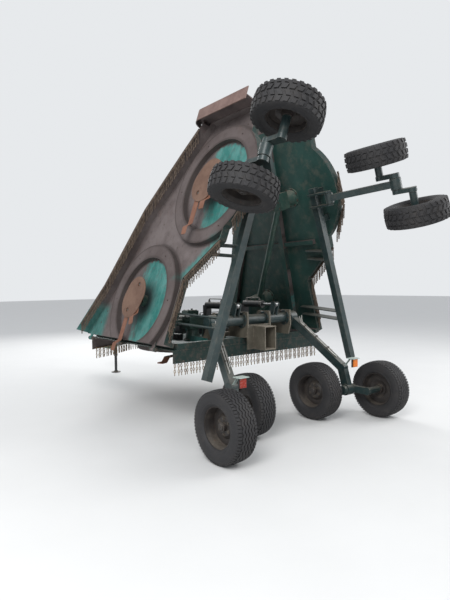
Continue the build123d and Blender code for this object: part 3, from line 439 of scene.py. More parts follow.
MATERIALS = {
    "tyre": tyre_look(),
    "blade": blade_look("blade_steel", (0.150, 0.056, 0.030), (0.215, 0.096, 0.058)),
    "disc": blade_look("disc_steel", (0.110, 0.056, 0.036), (0.170, 0.098, 0.066)),
    # Rusty chain steel; the centre curtain's paler tones are partly painted backlight, the wing curtains'
    # darker tones partly painted shade
    "chain": chain_look("chain_steel", (0.150, 0.100, 0.050), (0.270, 0.190, 0.100)),
    "wing_chain": chain_look("wing_chain_steel", (0.070, 0.050, 0.036), (0.130, 0.095, 0.068)),
    "green": painted("green_paint", GREEN, 0.45, 0.35),
    "dark": painted("dark_green_paint", DARK_GREEN, 0.34, 0.25, 0.36),
    # Rear frame: paler brown paint and strong pale edges, partly dust and partly painted sunlight
    "frame": painted("frame_paint_dust_and_sunlight", (0.085, 0.076, 0.058), 1.0, 0.3, 0.45, (0.440, 0.380, 0.300), 0.95),
    "black": painted("black_paint", NEARLY_BLACK, 0.35, 0.25),
    "rim": painted("rim_paint", (0.018, 0.015, 0.014), 0.28, 0.5, 0.5, (0.120, 0.085, 0.065)),
    "bracket": painted("faded_teal_paint", (0.330, 0.410, 0.385), 0.4, 0.35, 0.5),
    "cast": painted("gearbox_paint", (0.024, 0.060, 0.048), 0.6, 0.35, 0.45),
    "guard": painted("guard_plastic", (0.018, 0.018, 0.018), 0.5, 0.0, 0.5, (0.060, 0.058, 0.055)),
    "chrome": metal_look("chrome_rod", (0.36, 0.36, 0.36), 0.24, 1.0, 0.5),
    "steel": metal_look("bare_steel", (0.150, 0.142, 0.132), 0.42, 0.8, 0.6),
    "pipe": metal_look("zinc_pipe", (0.460, 0.450, 0.420), 0.40, 0.7, 0.3),
    "bolt": metal_look("bolt_steel", (0.110, 0.095, 0.080), 0.5, 0.6, 0.6),
    "red": lens_look("lens_red", (0.330, 0.028, 0.016)),
    "amber": lens_look("lens_amber", (0.720, 0.200, 0.030)),
}
for side, wing in WINGS.items():
    MATERIALS[f"wing_{side}"] = deck_look(f"wing_plate_{side}", wing.origin, wing.s, wing.n,
                                          list(WING_ROTORS.values()), WING_MIDDLE, True)
    MATERIALS[f"skid_{side}"] = skid_look(f"skid_{side}", wing.origin, wing.n)
MATERIALS["centre"] = deck_look("centre_plate", at(0, 0, DECK_Z), EAST, UP,
                                list(CENTRE_ROTORS.values()), CENTRE_MIDDLE)

NODE_LOOKS = {
    "tyre": "tyre wing_tyre", "rim": "rim wing_rim", "blade": "rotor", "centre": "centre_deck",
    "wing_left": "wing_deck_left", "wing_right": "wing_deck_right",
    "skid_left": "wing_skid_left", "skid_right": "wing_skid_right",
    "cast": "wing_gearboxes centre_gearboxes", "guard": "pto_shaft", "steel": "hitch_eye cross_shaft",
    "chrome": "fold_rod lift_rods", "black": "fold_cylinders lift_cylinders parking_jack",
    "bracket": "lamp_brackets", "green": "drawbar", "frame": "rear_frame",
    "red": "tail_lamp_left", "amber": "tail_lamp_right",
}


def node_material(name):
    """Material for a node of the CAD model, found by how its name starts."""
    for key, starts in NODE_LOOKS.items():
        if name.startswith(tuple(starts.split())):
            return MATERIALS[key]
    return MATERIALS["dark"]


def set_material(obj, material):
    obj.data.materials.clear()
    obj.data.materials.append(material)


def soften(obj, degrees=32.0):
    """Smooth shading on curved faces, with crisp edges where faces meet at more than the given angle."""
    for polygon in obj.data.polygons:
        polygon.use_smooth = True
    obj.data.set_sharp_from_angle(angle=math.radians(degrees))


for name, node in NODES.items():
    set_material(node, node_material(name))
    soften(node)


# Mesh helpers

def new_object(name, data):
    obj = bpy.data.objects.new(name, data)
    bpy.context.scene.collection.objects.link(obj)
    return obj


def mesh_object(name, mesh):
    data = bpy.data.meshes.new(name)
    mesh.to_mesh(data)
    mesh.free()
    return new_object(name, data)


def piece(name, mesh, material, body, replaced=(), degrees=32.0):
    """Turns a bmesh into an object that rides on a body."""
    bmesh.ops.recalc_face_normals(mesh, faces=mesh.faces)
    obj = mesh_object(name, mesh)
    set_material(obj, MATERIALS[material])
    soften(obj, degrees)
    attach(obj, body)
    if replaced:
        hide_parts(*replaced)
    return obj


def loft(mesh, rings, closed_rings=True, closed_run=False, caps=False):
    """Joins rows of points with quads; each ring is a list of vectors."""
    rows = [[mesh.verts.new(p) for p in ring] for ring in rings]
    count = len(rows[0])
    pairs = list(zip(rows, rows[1:]))
    if closed_run:
        pairs.append((rows[-1], rows[0]))
    for a, b in pairs:
        for i in range(count if closed_rings else count - 1):
            j = (i + 1) % count
            mesh.faces.new((a[i], a[j], b[j], b[i]))
    if caps:
        mesh.faces.new(rows[0])
        mesh.faces.new(rows[-1])
    return rows


def unit_circle(count, start=0.0):
    """Cosine and sine of evenly spaced angles."""
    angles = [2 * math.pi * (k + start) / count for k in range(count)]
    return [(math.cos(a), math.sin(a)) for a in angles]


def frame_of(axis):
    """Rotation that takes +X to the axis."""
    return EAST.rotation_difference(axis.normalized()).to_matrix()


SEAT = 0.0006


def hexagon(mesh, place, axis, radius, height, sides=6, chamfer=0.18):
    """Bolt head or nut standing on a face, with a chamfered top."""
    turn = UP.rotation_difference(axis).to_matrix()
    rings = []
    for level, share in ((0.0, 1.0), (height * (1 - chamfer), 1.0), (height, 1 - chamfer)):
        rings.append([place + turn @ Vector((radius * share * c, radius * share * s, level))
                      for c, s in unit_circle(sides)])
    loft(mesh, rings, caps=True)


def bolt(mesh, place, axis, size=0.012):
    """Washer and hexagon head, seated a hair into what carries it."""
    seat = place - axis * SEAT
    hexagon(mesh, seat, axis, size * 1.75, size * 0.25, sides=14, chamfer=0.1)
    hexagon(mesh, seat + axis * size * 0.2, axis, size, size * 0.8)


def turned(mesh, place, axis, profile, sides=20):
    """Solid of revolution: profile is (distance along the axis, radius), closed by flat ends."""
    turn = frame_of(axis)
    loft(mesh, [[place + turn @ Vector((x, r * c, r * s)) for c, s in unit_circle(sides)]
                for x, r in profile], caps=True)


def collar(mesh, place, axis, profile, sides=24):
    """Ring of revolution: profile is (distance along the axis, radius) all the way round its section."""
    turn = frame_of(axis)
    loft(mesh, [[place + turn @ Vector((x, r * c, r * s)) for x, r in profile]
                for c, s in unit_circle(sides)], closed_run=True)


def sleeve(mesh, place, axis, start, end, inner, outer, chamfer=0.003, sides=24):
    """Plain collar with chamfered outer corners."""
    section = [(start, inner), (start, outer - chamfer), (start + chamfer, outer), (end - chamfer, outer),
               (end, outer - chamfer), (end, inner)]
    collar(mesh, place, axis, section, sides)


def bolt_circle(mesh, place, axis, radius, count, size, start=0.0):
    """Bolts round an axis, their heads facing along it."""
    turn = frame_of(axis)
    for c, s in unit_circle(count, start):
        bolt(mesh, place + turn @ Vector((0, radius * c, radius * s)), axis, size)


def slab(mesh, place, x_axis, y_axis, size, chamfer):
    """Plate standing on a face at its place: size is length, width and height, with a chamfered top."""
    rings = []
    for level, less in ((-SEAT, 0.0), (size[2] - chamfer, 0.0), (size[2], chamfer)):
        middle = place + x_axis.cross(y_axis) * level
        along, across = x_axis * (size[0] / 2 - less), y_axis * (size[1] / 2 - less)
        rings.append([middle + along * i + across * j for i, j in ((-1, -1), (1, -1), (1, 1), (-1, 1))])
    loft(mesh, rings, caps=True)


def tube(mesh, points, radius, sides=10):
    """Round tube through points, with mitred corners."""
    runs = [(b - a).normalized() for a, b in zip(points, points[1:])]
    rings = []
    for i, point in enumerate(points):
        after = runs[min(i, len(runs) - 1)]
        along = (runs[max(i - 1, 0)] + after).normalized()
        across = (across - along * across.dot(along)).normalized() if i else along.orthogonal().normalized()
        up = along.cross(across)
        spread = radius / max(0.5, along.dot(after))
        rings.append([point + (across * c + up * s) * spread for c, s in unit_circle(sides)])
    loft(mesh, rings, caps=True)


# Tyres

CARCASS_SECTIONS = 96
SIDEWALL = [(0.90, 0.17), (0.97, 0.27), (0.972, 0.30), (0.958, 0.31), (0.992, 0.46), (1.0, 0.56),
            (0.985, 0.68), (0.95, 0.78), (0.965, 0.80), (0.945, 0.84), (0.86, 0.93)]


def carcass(radius, width, rim, tread):
    """Half profile of a tyre from the crown to the bead and back inside, mirrored to a closed outline."""
    half = width / 2
    wall = radius - rim
    crown = radius - tread
    outer = [(0.0, crown), (half * 0.45, crown - 0.001), (half * 0.76, crown - 0.005)]
    outer += [(half * x, radius - wall * down) for x, down in SIDEWALL]
    outer += [(half * 0.80, rim + 0.004), (half * 0.76, rim)]
    return outer + [(-x, r) for x, r in reversed(outer[1:])]


def block(mesh, place, sides, angles, top, base, skew, taper=0.12, steps=2):
    """Tread block between two side positions and two angles, leaning by skew from one side to the other."""
    mid_x = sum(sides) / 2
    mid_a = (sum(angles) + skew) / 2
    low, high = [], []
    for k in range(steps + 1):
        a = angles[0] + (angles[1] - angles[0]) * k / steps
        corners = ((sides[0], a), (sides[1], a + skew))
        low.append([mesh.verts.new(place(x, base(x), angle)) for x, angle in corners])
        narrow = [(mid_x + (x - mid_x) * (1 - taper), mid_a + (angle - mid_a) * (1 - taper))
                  for x, angle in corners]
        high.append([mesh.verts.new(place(x, top(x), angle)) for x, angle in narrow])
    for k in range(steps):
        mesh.faces.new((high[k][0], high[k][1], high[k + 1][1], high[k + 1][0]))
        mesh.faces.new((low[k][0], high[k][0], high[k + 1][0], low[k + 1][0]))
        mesh.faces.new((low[k][1], low[k + 1][1], high[k + 1][1], high[k][1]))
    mesh.faces.new((low[0][0], low[0][1], high[0][1], high[0][0]))
    mesh.faces.new((low[-1][0], high[-1][0], high[-1][1], low[-1][1]))


def zigzag_rib(mesh, place, centre, half, swing, pitches, top, base):
    """Rib that runs round the tyre in a zigzag."""
    rings = []
    waves = (1, 0.9, -0.9, -1, -0.9, 0.9)
    for k in range(pitches * len(waves)):
        a = 2 * math.pi * k / (pitches * len(waves))
        shift = swing * waves[k % len(waves)]
        points = ((-half, base), (-half * 0.86, top), (half * 0.86, top), (half, base))
        rings.append([place(centre + x + shift, level(centre + x), a) for x, level in points])
    loft(mesh, rings, closed_rings=False, closed_run=True)


def tyre(name, wheel, node, radius, width, rim, lugs):
    """Tyre with its tread, which stands for the plain tyre of the same wheel."""
    centre, axis = joint_place(wheel)
    turn = frame_of(axis)
    tread = 0.015 if lugs else 0.014
    half = width / 2

    def place(x, r, a):
        return centre + turn @ Vector((x, r * math.sin(a), r * math.cos(a)))

    def crown(x):
        return radius - 0.0005 - 0.010 * (x / (half * 0.84)) ** 2

    def under(x):
        return radius - tread - 0.008 - 0.012 * (x / (half * 0.84)) ** 2

    def shoulder(x):
        return radius - 0.050 if abs(x) > half * 0.7 else under(x)

    mesh = bmesh.new()
    outline = carcass(radius, width, rim, tread)
    loft(mesh, [[place(x, r, 2 * math.pi * k / CARCASS_SECTIONS) for x, r in outline]
                for k in range(CARCASS_SECTIONS)], closed_run=True)
    count = 30 if lugs else 64
    step = 2 * math.pi / count
    if not lugs:
        for x in (-0.44, -0.15, 0.15, 0.44):
            zigzag_rib(mesh, place, half * x, half * 0.105, half * 0.058, count // 2, crown, under)
    for k in range(count):
        for sign in (-1, 1):
            edge = sign * half
            if lugs:
                a = (k + (0.5 if sign > 0 else 0.0)) * step
                outside, inside = (edge * 0.56, edge * 0.93), (edge * 0.06, edge * 0.48)
                block(mesh, place, outside, (a, a + step * 0.60), crown, shoulder, step * 0.22)
                block(mesh, place, inside, (a + step * 0.22, a + step * 0.86), crown, under, -step * 0.32)
            else:
                block(mesh, place, (edge * 0.62, edge * 0.91), (k * step, (k + 0.74) * step), crown, shoulder,
                      step * 0.14)
    return piece(name, mesh, "tyre", wheel, (node,), 28.0)


GROUND_TYRE = (0.380, 0.265, 0.218)
WING_TYRE = (0.360, 0.250, 0.204)
for side in SIDES:
    for name in ("outer", "inner"):
        end = f"{name}_{side}"
        tyre(f"ribbed_tyre_{end}", f"wheel_{end}", f"tyre_{end}", *GROUND_TYRE, False)
        tyre(f"lug_tyre_{end}", f"wing_wheel_{end}", f"wing_tyre_{end}", *WING_TYRE, True)


# Wheel nuts, dust caps and valves

DUST_CAP = [(0, 0.047), (0.003, 0.047), (0.006, 0.036), (0.014, 0.034), (0.018, 0.028), (0.0185, 0.006),
            (0.026, 0.005), (0.027, 0.003)]


def wheel_fittings(wheel, name, outward, rim):
    """Six nuts, a dust cap and a valve stem on the outer face of a wheel's disc."""
    centre, axis = joint_place(wheel)
    turn = frame_of(axis)
    out = turn @ Vector((outward, 0, 0))
    mesh = bmesh.new()
    bolt_circle(mesh, centre + out * 0.008, out, 0.082, 6, 0.012)
    piece(f"{name}_nuts", mesh, "bolt", wheel)
    mesh = bmesh.new()
    turned(mesh, centre + out * 0.0394, out, DUST_CAP)
    valve = centre + out * -0.018 + turn @ Vector((0, 0, rim * 0.80))
    tube(mesh, [valve, valve + out * 0.016, valve + out * 0.030 + turn @ Vector((0, 0, -0.006))], 0.0045, 8)
    piece(f"{name}_cap", mesh, "rim", wheel)


for side, sign in SIDES.items():
    for name, out in (("outer", 1), ("inner", -1)):
        wheel_fittings(f"wheel_{name}_{side}", f"ground_{name}_{side}", sign * out, GROUND_TYRE[2])
        wheel_fittings(f"wing_wheel_{name}_{side}", f"wing_{name}_{side}", out, WING_TYRE[2])


# Chain curtains

def inset(points, distance):
    """Moves a row of plan points to the right of the way they run, with mitred corners."""
    runs = [(Vector(b) - Vector(a)).normalized() for a, b in zip(points, points[1:])]
    sides = [Vector((r.y, -r.x)) for r in runs]
    moved = []
    for i, point in enumerate(points):
        before, after = sides[max(i - 1, 0)], sides[min(i, len(sides) - 1)]
        half = (before + after).normalized()
        moved.append(Vector(point) + half * (distance / half.dot(before)))
    return [(v.x, v.y) for v in moved]


def link(mesh, centre, down, across, length=0.044, width=0.027, wire=0.0048, turns=10, sides=5):
    """One chain link with its long way along down and its flat way along across."""
    thick = down.cross(across)
    straight = (length - width) / 2
    r = width / 2 - wire
    rings = []
    for c, s in unit_circle(turns, 0.5):
        middle = centre + down * (r * c + math.copysign(straight, c)) + across * (r * s)
        out = down * c + across * s
        rings.append([middle + (out * i + thick * j) * wire for i, j in unit_circle(sides)])
    loft(mesh, rings, closed_run=True)


CHAIN_EDGE = WING_EDGE[:-1] + [(2.975, 1.4685)]
LINK_STEP = 0.0335
CHAIN_TILT = 0.6
ROW_OFF = 0.005
RAIL_CORNERS = [(0.005, 0.012), (0.005, -0.012), (-0.005, -0.012), (-0.005, 0.012)]
LINK_CREASE = 50.0


def curtain(mesh, points, drop, deck_up, rng):
    """Rails along the runs between the points, with two rows of chain hanging from each."""
    down = -UP
    for a, b in zip(points, points[1:]):
        along = (b - a).normalized()
        a, b = a + along * RAIL_TRIM, b - along * RAIL_TRIM
        out = along.cross(deck_up).normalized()
        loft(mesh, [[p + deck_up * h + out * w for h, w in RAIL_CORNERS] for p in (a, b)], caps=True)
        count = max(1, int((b - a).length // CHAIN_PITCH)) * 2
        for i in range(count):
            row = ROW_OFF if i % 2 else -ROW_OFF
            spot = a + (b - a) * ((i + 0.5) / count) + out * row
            flat = along * math.cos(CHAIN_TILT) + out * math.sin(CHAIN_TILT)
            flat = (flat - down * flat.dot(down)).normalized()
            sway = flat * rng.uniform(-0.0015, 0.0015)
            for k in range(int((drop - 0.014) / LINK_STEP) + 1):
                turn = flat if k % 2 else down.cross(flat)
                link(mesh, spot + down * (0.010 + LINK_STEP * k) + sway * k, down, turn)


def rear_arc():
    """Points of the wing's rear chain row, where it follows the outer blade circle."""
    x, y = WING_ROTORS["outer"]
    reach = (RING_OUT_R + RAIL_THICK / 2 + RAIL_GAP) / math.cos(math.radians(REAR_ARC_STEP / 2))
    return [(x + reach * math.cos(math.radians(a)), y + reach * math.sin(math.radians(a))) for a in REAR_ARC]


RAIL_STEP = RAIL_THICK / 2 + RAIL_GAP
rng = random.Random(7)
for side, wing in WINGS.items():
    mesh = bmesh.new()
    rows = [(inset(CHAIN_EDGE, PLATE + RAIL_STEP), FRONT_SKIRT),
            (inset(WING_REAR_INNER, -RAIL_STEP), WING_REAR_SKIRT), (rear_arc(), WING_REAR_SKIRT)]
    for edge, depth in rows:
        curtain(mesh, [wing.point(s, y, CHAIN_INSET - depth) for s, y in edge], CHAIN_DROP, wing.n, rng)
    piece(f"chain_curtain_{side}", mesh, "wing_chain", f"wing_{side}", (f"wing_chains_{side}",), LINK_CREASE)
mesh = bmesh.new()
front = [at(x, y, DECK_Z - FRONT_SKIRT + CHAIN_INSET) for x, y in inset(CENTRE_EDGE, PLATE + RAIL_STEP)]
rear_y = CENTRE_REAR_Y + PLATE + RAIL_STEP
rear = [at(x, rear_y, DECK_Z - CENTRE_REAR_SKIRT + CHAIN_INSET) for x in (-1.290, 0.0, 1.290)]
curtain(mesh, front, CHAIN_DROP, UP, rng)
curtain(mesh, rear, CHAIN_DROP + 0.015, UP, rng)
piece("chain_curtain_centre", mesh, "chain", "deck", ("centre_chains",), LINK_CREASE)


# Bolts, covers and fittings on the decks

GEAR_FOOT = PLATE + 0.016
GEAR_TOP = PLATE + 0.252 + 0.085
BREATHER = [(0, 0.014), (0.012, 0.014), (0.014, 0.018), (0.024, 0.018), (0.028, 0.010)]


def gearbox_fittings(bolts, cover, place, s_axis, n_axis):
    """Flange bolts, a bolted lid and a breather; place is on the gearbox's axis, at the deck's underside."""
    bolt_circle(bolts, place + n_axis * GEAR_FOOT, n_axis, 0.118, 8, 0.012, 0.5)
    y_axis = n_axis.cross(s_axis)
    lid = place + n_axis * GEAR_TOP
    slab(cover, lid, s_axis, y_axis, (0.196, 0.158, 0.010), 0.003)
    for i in (-1, 0, 1):
        for j in (-1, 1):
            bolt(bolts, lid + n_axis * 0.010 + s_axis * i * 0.082 + y_axis * j * 0.063, n_axis, 0.008)
    turned(cover, lid + n_axis * 0.0095 + s_axis * 0.035, n_axis, BREATHER, 12)


DOME = [(0, 0.012), (0.002, 0.0118), (0.005, 0.008), (0.006, 0.003)]
DOME_SPOTS = [(0.26, 3.08), (0.44, 2.98), (1.08, 0.99), (1.30, 2.30), (1.40, 0.66), (1.74, 2.02),
              (2.86, 1.36), (2.92, 0.66), (0.20, 1.20), (0.24, 2.70), (2.36, 1.84), (1.36, 1.50)]
for side, wing in WINGS.items():
    bolts, cover, domes = bmesh.new(), bmesh.new(), bmesh.new()
    for s, y in WING_ROTORS.values():
        gearbox_fittings(bolts, cover, wing.point(s, y, 0), wing.s, wing.n)
    for s, y in DOME_SPOTS:
        turned(domes, wing.point(s, y, SEAT), -wing.n, DOME, 12)
    piece(f"gear_bolts_{side}", bolts, "bolt", f"wing_{side}")
    piece(f"gear_lids_{side}", cover, "cast", f"wing_{side}")
    piece(f"plate_bolts_{side}", domes, "bolt", f"wing_{side}")
bolts, cover = bmesh.new(), bmesh.new()
for x, y in CENTRE_ROTORS.values():
    gearbox_fittings(bolts, cover, at(x, y, DECK_Z), EAST, UP)
piece("gear_bolts_centre", bolts, "bolt", "deck")
piece("gear_lids_centre", cover, "cast", "deck")


# Rotors: a carrier disc on a hub, with two cranked blades that swing on bolts

DISC_SHIFT = 0.045
DISC_R = 0.245
PIVOT_HOLE_R = 0.030
HUB_R = 0.058
HUB_TOP = -0.0603
BLADE_HALF = 0.0475
BLADE_THICK = 0.014
BLADE_DROP = 0.060
BLADE_RUN = [(-0.0473, 0.012, 0), (-0.042, 0.025, 0), (-0.033, 0.036, 0), (-0.018, 0.0445, 0),
             (0.0, BLADE_HALF, 0), (0.404, BLADE_HALF, 0), (0.416, BLADE_HALF, 0.1), (0.464, BLADE_HALF, 0.9),
             (0.476, BLADE_HALF, 1), (0.556, BLADE_HALF, 1), (0.569, 0.038, 1)]
HUB_RUN = [(0, HUB_R + 0.012), (0.008, HUB_R + 0.010), (0.014, HUB_R), (DISC_DROP + HUB_TOP - 0.004, HUB_R),
           (DISC_DROP + HUB_TOP, HUB_R - 0.004)]
EDGE_FROM = 0.40
REST_GAP = 35


def carrier(mesh, place):
    """Disc with chamfered rims and a hole for each blade bolt; both bolts lie on place's u axis."""
    half = [(math.cos(a), math.sin(a)) for a in (math.radians(-90 + 7.5 * k) for k in range(25))]
    low, high = -DISC_DROP - DISC_THICK, -DISC_DROP
    walls = []
    for n, less in ((low, 0.003), (low + 0.003, 0.0), (high - 0.003, 0.0), (high, 0.003)):
        r = DISC_R - less
        arc = [(DISC_SHIFT + c * r, s * r) for c, s in half]
        walls.append([place(u, v, n) for u, v in arc + [(-u, -v) for u, v in arc]])
    shells = [loft(mesh, walls)]
    for way in (-1, 1):
        rings = [[place(way * PIVOT_R + r * c, r * s, n) for c, s in unit_circle(28)]
                 for n, r in ((low, PIVOT_HOLE_R + 0.002), (low + 0.002, PIVOT_HOLE_R), (high, PIVOT_HOLE_R))]
        shells.append(loft(mesh, rings))
    for end in (0, -1):
        rims = [rows[end] for rows in shells]
        edges = [mesh.edges.get(pair) for rim in rims for pair in zip(rim, rim[1:] + rim[:1])]
        bmesh.ops.triangle_fill(mesh, edges=edges, use_beauty=True)


def blade(mesh, place, pivot, way):
    """Cranked blade, rounded round its bolt, with a ground cutting edge on the outer part."""
    along = (math.cos(way), math.sin(way))
    rings = []
    for t, w, drop in BLADE_RUN:
        low = -DISC_DROP - BLADE_DROP * drop
        high = low + BLADE_THICK
        c = 0.002
        ground, lip = (0.026, 0.004) if t > EDGE_FROM else (c, BLADE_THICK - c)
        section = [(-w, low + c), (-w + c, low), (w - c, low), (w, low + c), (w, low + lip),
                   (w - ground, high), (-w + c, high), (-w, high - c)]
        rings.append([place(pivot[0] + along[0] * t - along[1] * v, pivot[1] + along[1] * t + along[0] * v, n)
                      for v, n in section])
    loft(mesh, rings, caps=True)


def hanging(turn):
    """Way a blade points on a folded wing: down, or resting near the hub."""
    off = (180 - turn) % 360 - 180
    return 180 if abs(off) >= REST_GAP else turn + 180 + math.copysign(REST_GAP, off)


def rotor(name, centre, folded, deck_place):
    """Carrier, hub, blades and blade bolts of one rotor; deck_place takes plan points and a height."""
    turn = math.radians(ROTOR_TURN[name])
    c, s = math.cos(turn), math.sin(turn)

    def place(u, v, n):
        return deck_place(centre[0] + c * u - s * v, centre[1] + s * u + c * v, n)

    disc, blades, bolts = bmesh.new(), bmesh.new(), bmesh.new()
    carrier(disc, place)
    up = (place(0, 0, 1) - place(0, 0, 0)).normalized()
    turned(disc, place(0, 0, -DISC_DROP - SEAT), up, HUB_RUN, 32)
    for sign, heading in ((1, ROTOR_TURN[name]), (-1, ROTOR_TURN[name] + 180)):
        pivot = (sign * PIVOT_R, 0.0)
        heading = hanging(heading) if folded else heading
        blade(blades, place, pivot, math.radians(heading) - turn)
        hexagon(bolts, place(*pivot, -DISC_DROP + SEAT), -up, 0.019, 0.011)
        hexagon(bolts, place(*pivot, -DISC_DROP + BLADE_THICK - SEAT), up, 0.024, 0.020)
    piece(f"carrier_{name}", disc, "disc", f"rotor_{name}", (f"rotor_{name}",))
    piece(f"blades_{name}", blades, "blade", f"rotor_{name}")
    piece(f"blade_bolts_{name}", bolts, "bolt", f"rotor_{name}")


for side, wing in WINGS.items():
    for name, spot in WING_ROTORS.items():
        rotor(f"{name}_{side}", spot, True, wing.point)
for name, spot in CENTRE_ROTORS.items():
    rotor(name, spot, False, lambda px, py, n: at(px, py, DECK_Z + n))


# Skirt bolts: heads on the outer face of each skirt, in line with the chain rails

def skirt_bolts(mesh, points, deck_up, clear=0.0002, pitch=0.26):
    for a, b in zip(points, points[1:]):
        along = (b - a).normalized()
        out = deck_up.cross(along).normalized()
        count = max(1, round((b - a).length / pitch))
        for i in range(count):
            bolt(mesh, a + (b - a) * ((i + 0.5) / count) + out * clear, out, 0.009)


for side, wing in WINGS.items():
    mesh = bmesh.new()
    edge = [wing.point(s, y, 0.018 - FRONT_SKIRT) for s, y in WING_EDGE]
    skirt_bolts(mesh, edge if side == "right" else edge[::-1], wing.n)
    piece(f"skirt_bolts_{side}", mesh, "bolt", f"wing_{side}")
mesh = bmesh.new()
skirt_bolts(mesh, [at(x, y, DECK_Z - FRONT_SKIRT + 0.018) for x, y in CENTRE_EDGE], UP)
skirt_bolts(mesh, [at(x, CENTRE_REAR_Y, DECK_Z - CENTRE_REAR_SKIRT + 0.018) for x in (1.280, -1.280)], UP)
piece("skirt_bolts_centre", mesh, "bolt", "deck")


# Corner plates that join the front skirt's end with the end skid's nose

NOSE_WALL = (3.1012, 3.1088)
NOSE_WEB = [(1.360, 0.006), (1.360, -0.150), (1.5120, -0.166), (1.536, -0.152), (1.536, -0.104),
            (1.498, -0.042), (1.436, 0.006)]
NOSE_CORNER = [(3.0455, 1.3975), (3.0490, 1.4027), (3.1040, 1.4330), (3.1040, 1.4262)]
SKIRT_END = [(2.9293, 1.5068), (3.0493, 1.4026), (3.0454, 1.3981), (2.9254, 1.5023)]
UPRIGHTS = [(NOSE_CORNER, (-0.186, 0.004)), (SKIRT_END, (-0.190, -0.030))]
for side, wing in WINGS.items():
    mesh = bmesh.new()
    loft(mesh, [[wing.point(s, y, n) for y, n in NOSE_WEB] for s in NOSE_WALL], caps=True)
    for outline, levels in UPRIGHTS:
        loft(mesh, [[wing.point(s, y, n) for s, y in outline] for n in levels], caps=True)
    piece(f"nose_plates_{side}", mesh, f"skid_{side}", f"wing_{side}")


# Hinge pins: washers and grease nipples

HINGE_STATIONS = (1.400, 2.330, 3.260)
HINGE_PIN_END = 0.075
NIPPLE = [(0, 0.014), (0.003, 0.0135), (0.005, 0.010)]
mesh = bmesh.new()
for sign in SIDES.values():
    for y in HINGE_STATIONS:
        for way in (-1, 1):
            end = at(sign * 1.370, y + way * (HINGE_PIN_END - 0.009), DECK_Z)
            sleeve(mesh, end, NORTH * way, 0.0, 0.008, 0.0145, 0.024, 0.002, 16)
            turned(mesh, end + NORTH * way * 0.0085, NORTH * way, NIPPLE, 16)
piece("hinge_washers", mesh, "bolt", "deck")


# Cylinders: glands, ports and the pipes along the barrels

FOLD_CYL = (2.600, 1.2795)
LIFT_TIP = (1.0015, 1.5413)
PORT_BOSS = [(0, 0.018), (0.012, 0.018), (0.015, 0.013), (0.026, 0.013), (0.030, 0.010)]


def barrel_fittings(metal, pipes, gland, port_a, port_b, axis, radius):
    """Gland ring at one end of a barrel, and two port bosses on top with the pipe between them."""
    sleeve(metal, gland, axis, -0.030, 0.004, radius - 0.0006, radius + 0.006, 0.002)
    for port in (port_a, port_b):
        turned(metal, port + UP * (radius - 0.002), UP, PORT_BOSS, 14)
    foot, rise = UP * (radius + 0.026), UP * (radius + 0.040)
    bend = (port_b - port_a).normalized() * 0.012
    tube(pipes, [port_a + foot, port_a + rise * 0.95, port_a + rise + bend,
                 port_b + rise - bend, port_b + rise * 0.95, port_b + foot], 0.0065)


metal, pipes = bmesh.new(), bmesh.new()
for sign in SIDES.values():
    stations = [at(sign * x, *FOLD_CYL) for x in (0.960, 0.895, 0.215)]
    barrel_fittings(metal, pipes, *stations, EAST * sign, 0.050)
    stations = [at(sign * 0.350, LIFT_TIP[0] + y, LIFT_TIP[1]) for y in (0.250, 0.315, 0.590)]
    barrel_fittings(metal, pipes, *stations, -NORTH, 0.048)
piece("cylinder_glands", metal, "steel", "deck")
piece("cylinder_pipes", pipes, "steel", "deck")


# Rockshaft bearings

ROCKSHAFT = (1.060, 1.350)
mesh, bolts = bmesh.new(), bmesh.new()
for x in (-0.600, -0.200, 0.200, 0.600):
    for way in (-1, 1):
        face = at(x + way * 0.0116, *ROCKSHAFT)
        sleeve(mesh, face, EAST * way, 0.0, 0.014, 0.0716, 0.106, 0.003, 28)
        bolt_circle(bolts, face + EAST * way * 0.014, EAST * way, 0.091, 6, 0.008, 0.5)
piece("rockshaft_bearings", mesh, "dark", "deck")
piece("bearing_bolts", bolts, "bolt", "deck")


# Trailing arms: pipes with clips along each arm

ARM_TOP = (0.720, 1.060, 1.350)
ARM_KNEE = (0.991, 0.340, 0.670)
ARM_FACE = 0.055
for side, sign in SIDES.items():
    top = at(sign * ARM_TOP[0], *ARM_TOP[1:])
    knee = at(sign * ARM_KNEE[0], *ARM_KNEE[1:])
    run = (knee - top).normalized()
    across = (EAST - run * EAST.dot(run)).normalized()
    back = run.cross(across)
    back = back if back.z > 0 else -back
    pipes, clips = bmesh.new(), bmesh.new()
    for lane in (-1, 1):
        end = (knee - top).length - 0.10 * (lane > 0)
        line = [(0.115, 0.075, 1.9), (0.150, 0.040, 1.3), (0.185, 0.011, 1.0), (end - 0.20, 0.011, 1.0),
                (end - 0.165, 0.018, 1.0), (end - 0.150, 0.004, 1.0)]
        tube(pipes, [top + run * t + back * (ARM_FACE + h) + across * lane * 0.016 * spread
                     for t, h, spread in line], 0.0075)
    for t in (0.26, 0.48, 0.70):
        slab(clips, top + run * t + back * (ARM_FACE + 0.017), across, run, (0.062, 0.024, 0.005), 0.001)
        bolt(clips, top + run * t + back * (ARM_FACE + 0.022), back, 0.007)
    piece(f"arm_pipes_{side}", pipes, "pipe", "lift_axle")
    piece(f"pipe_clips_{side}", clips, "bolt", "lift_axle")


# Tail lamps: a ribbed lens and a dark housing

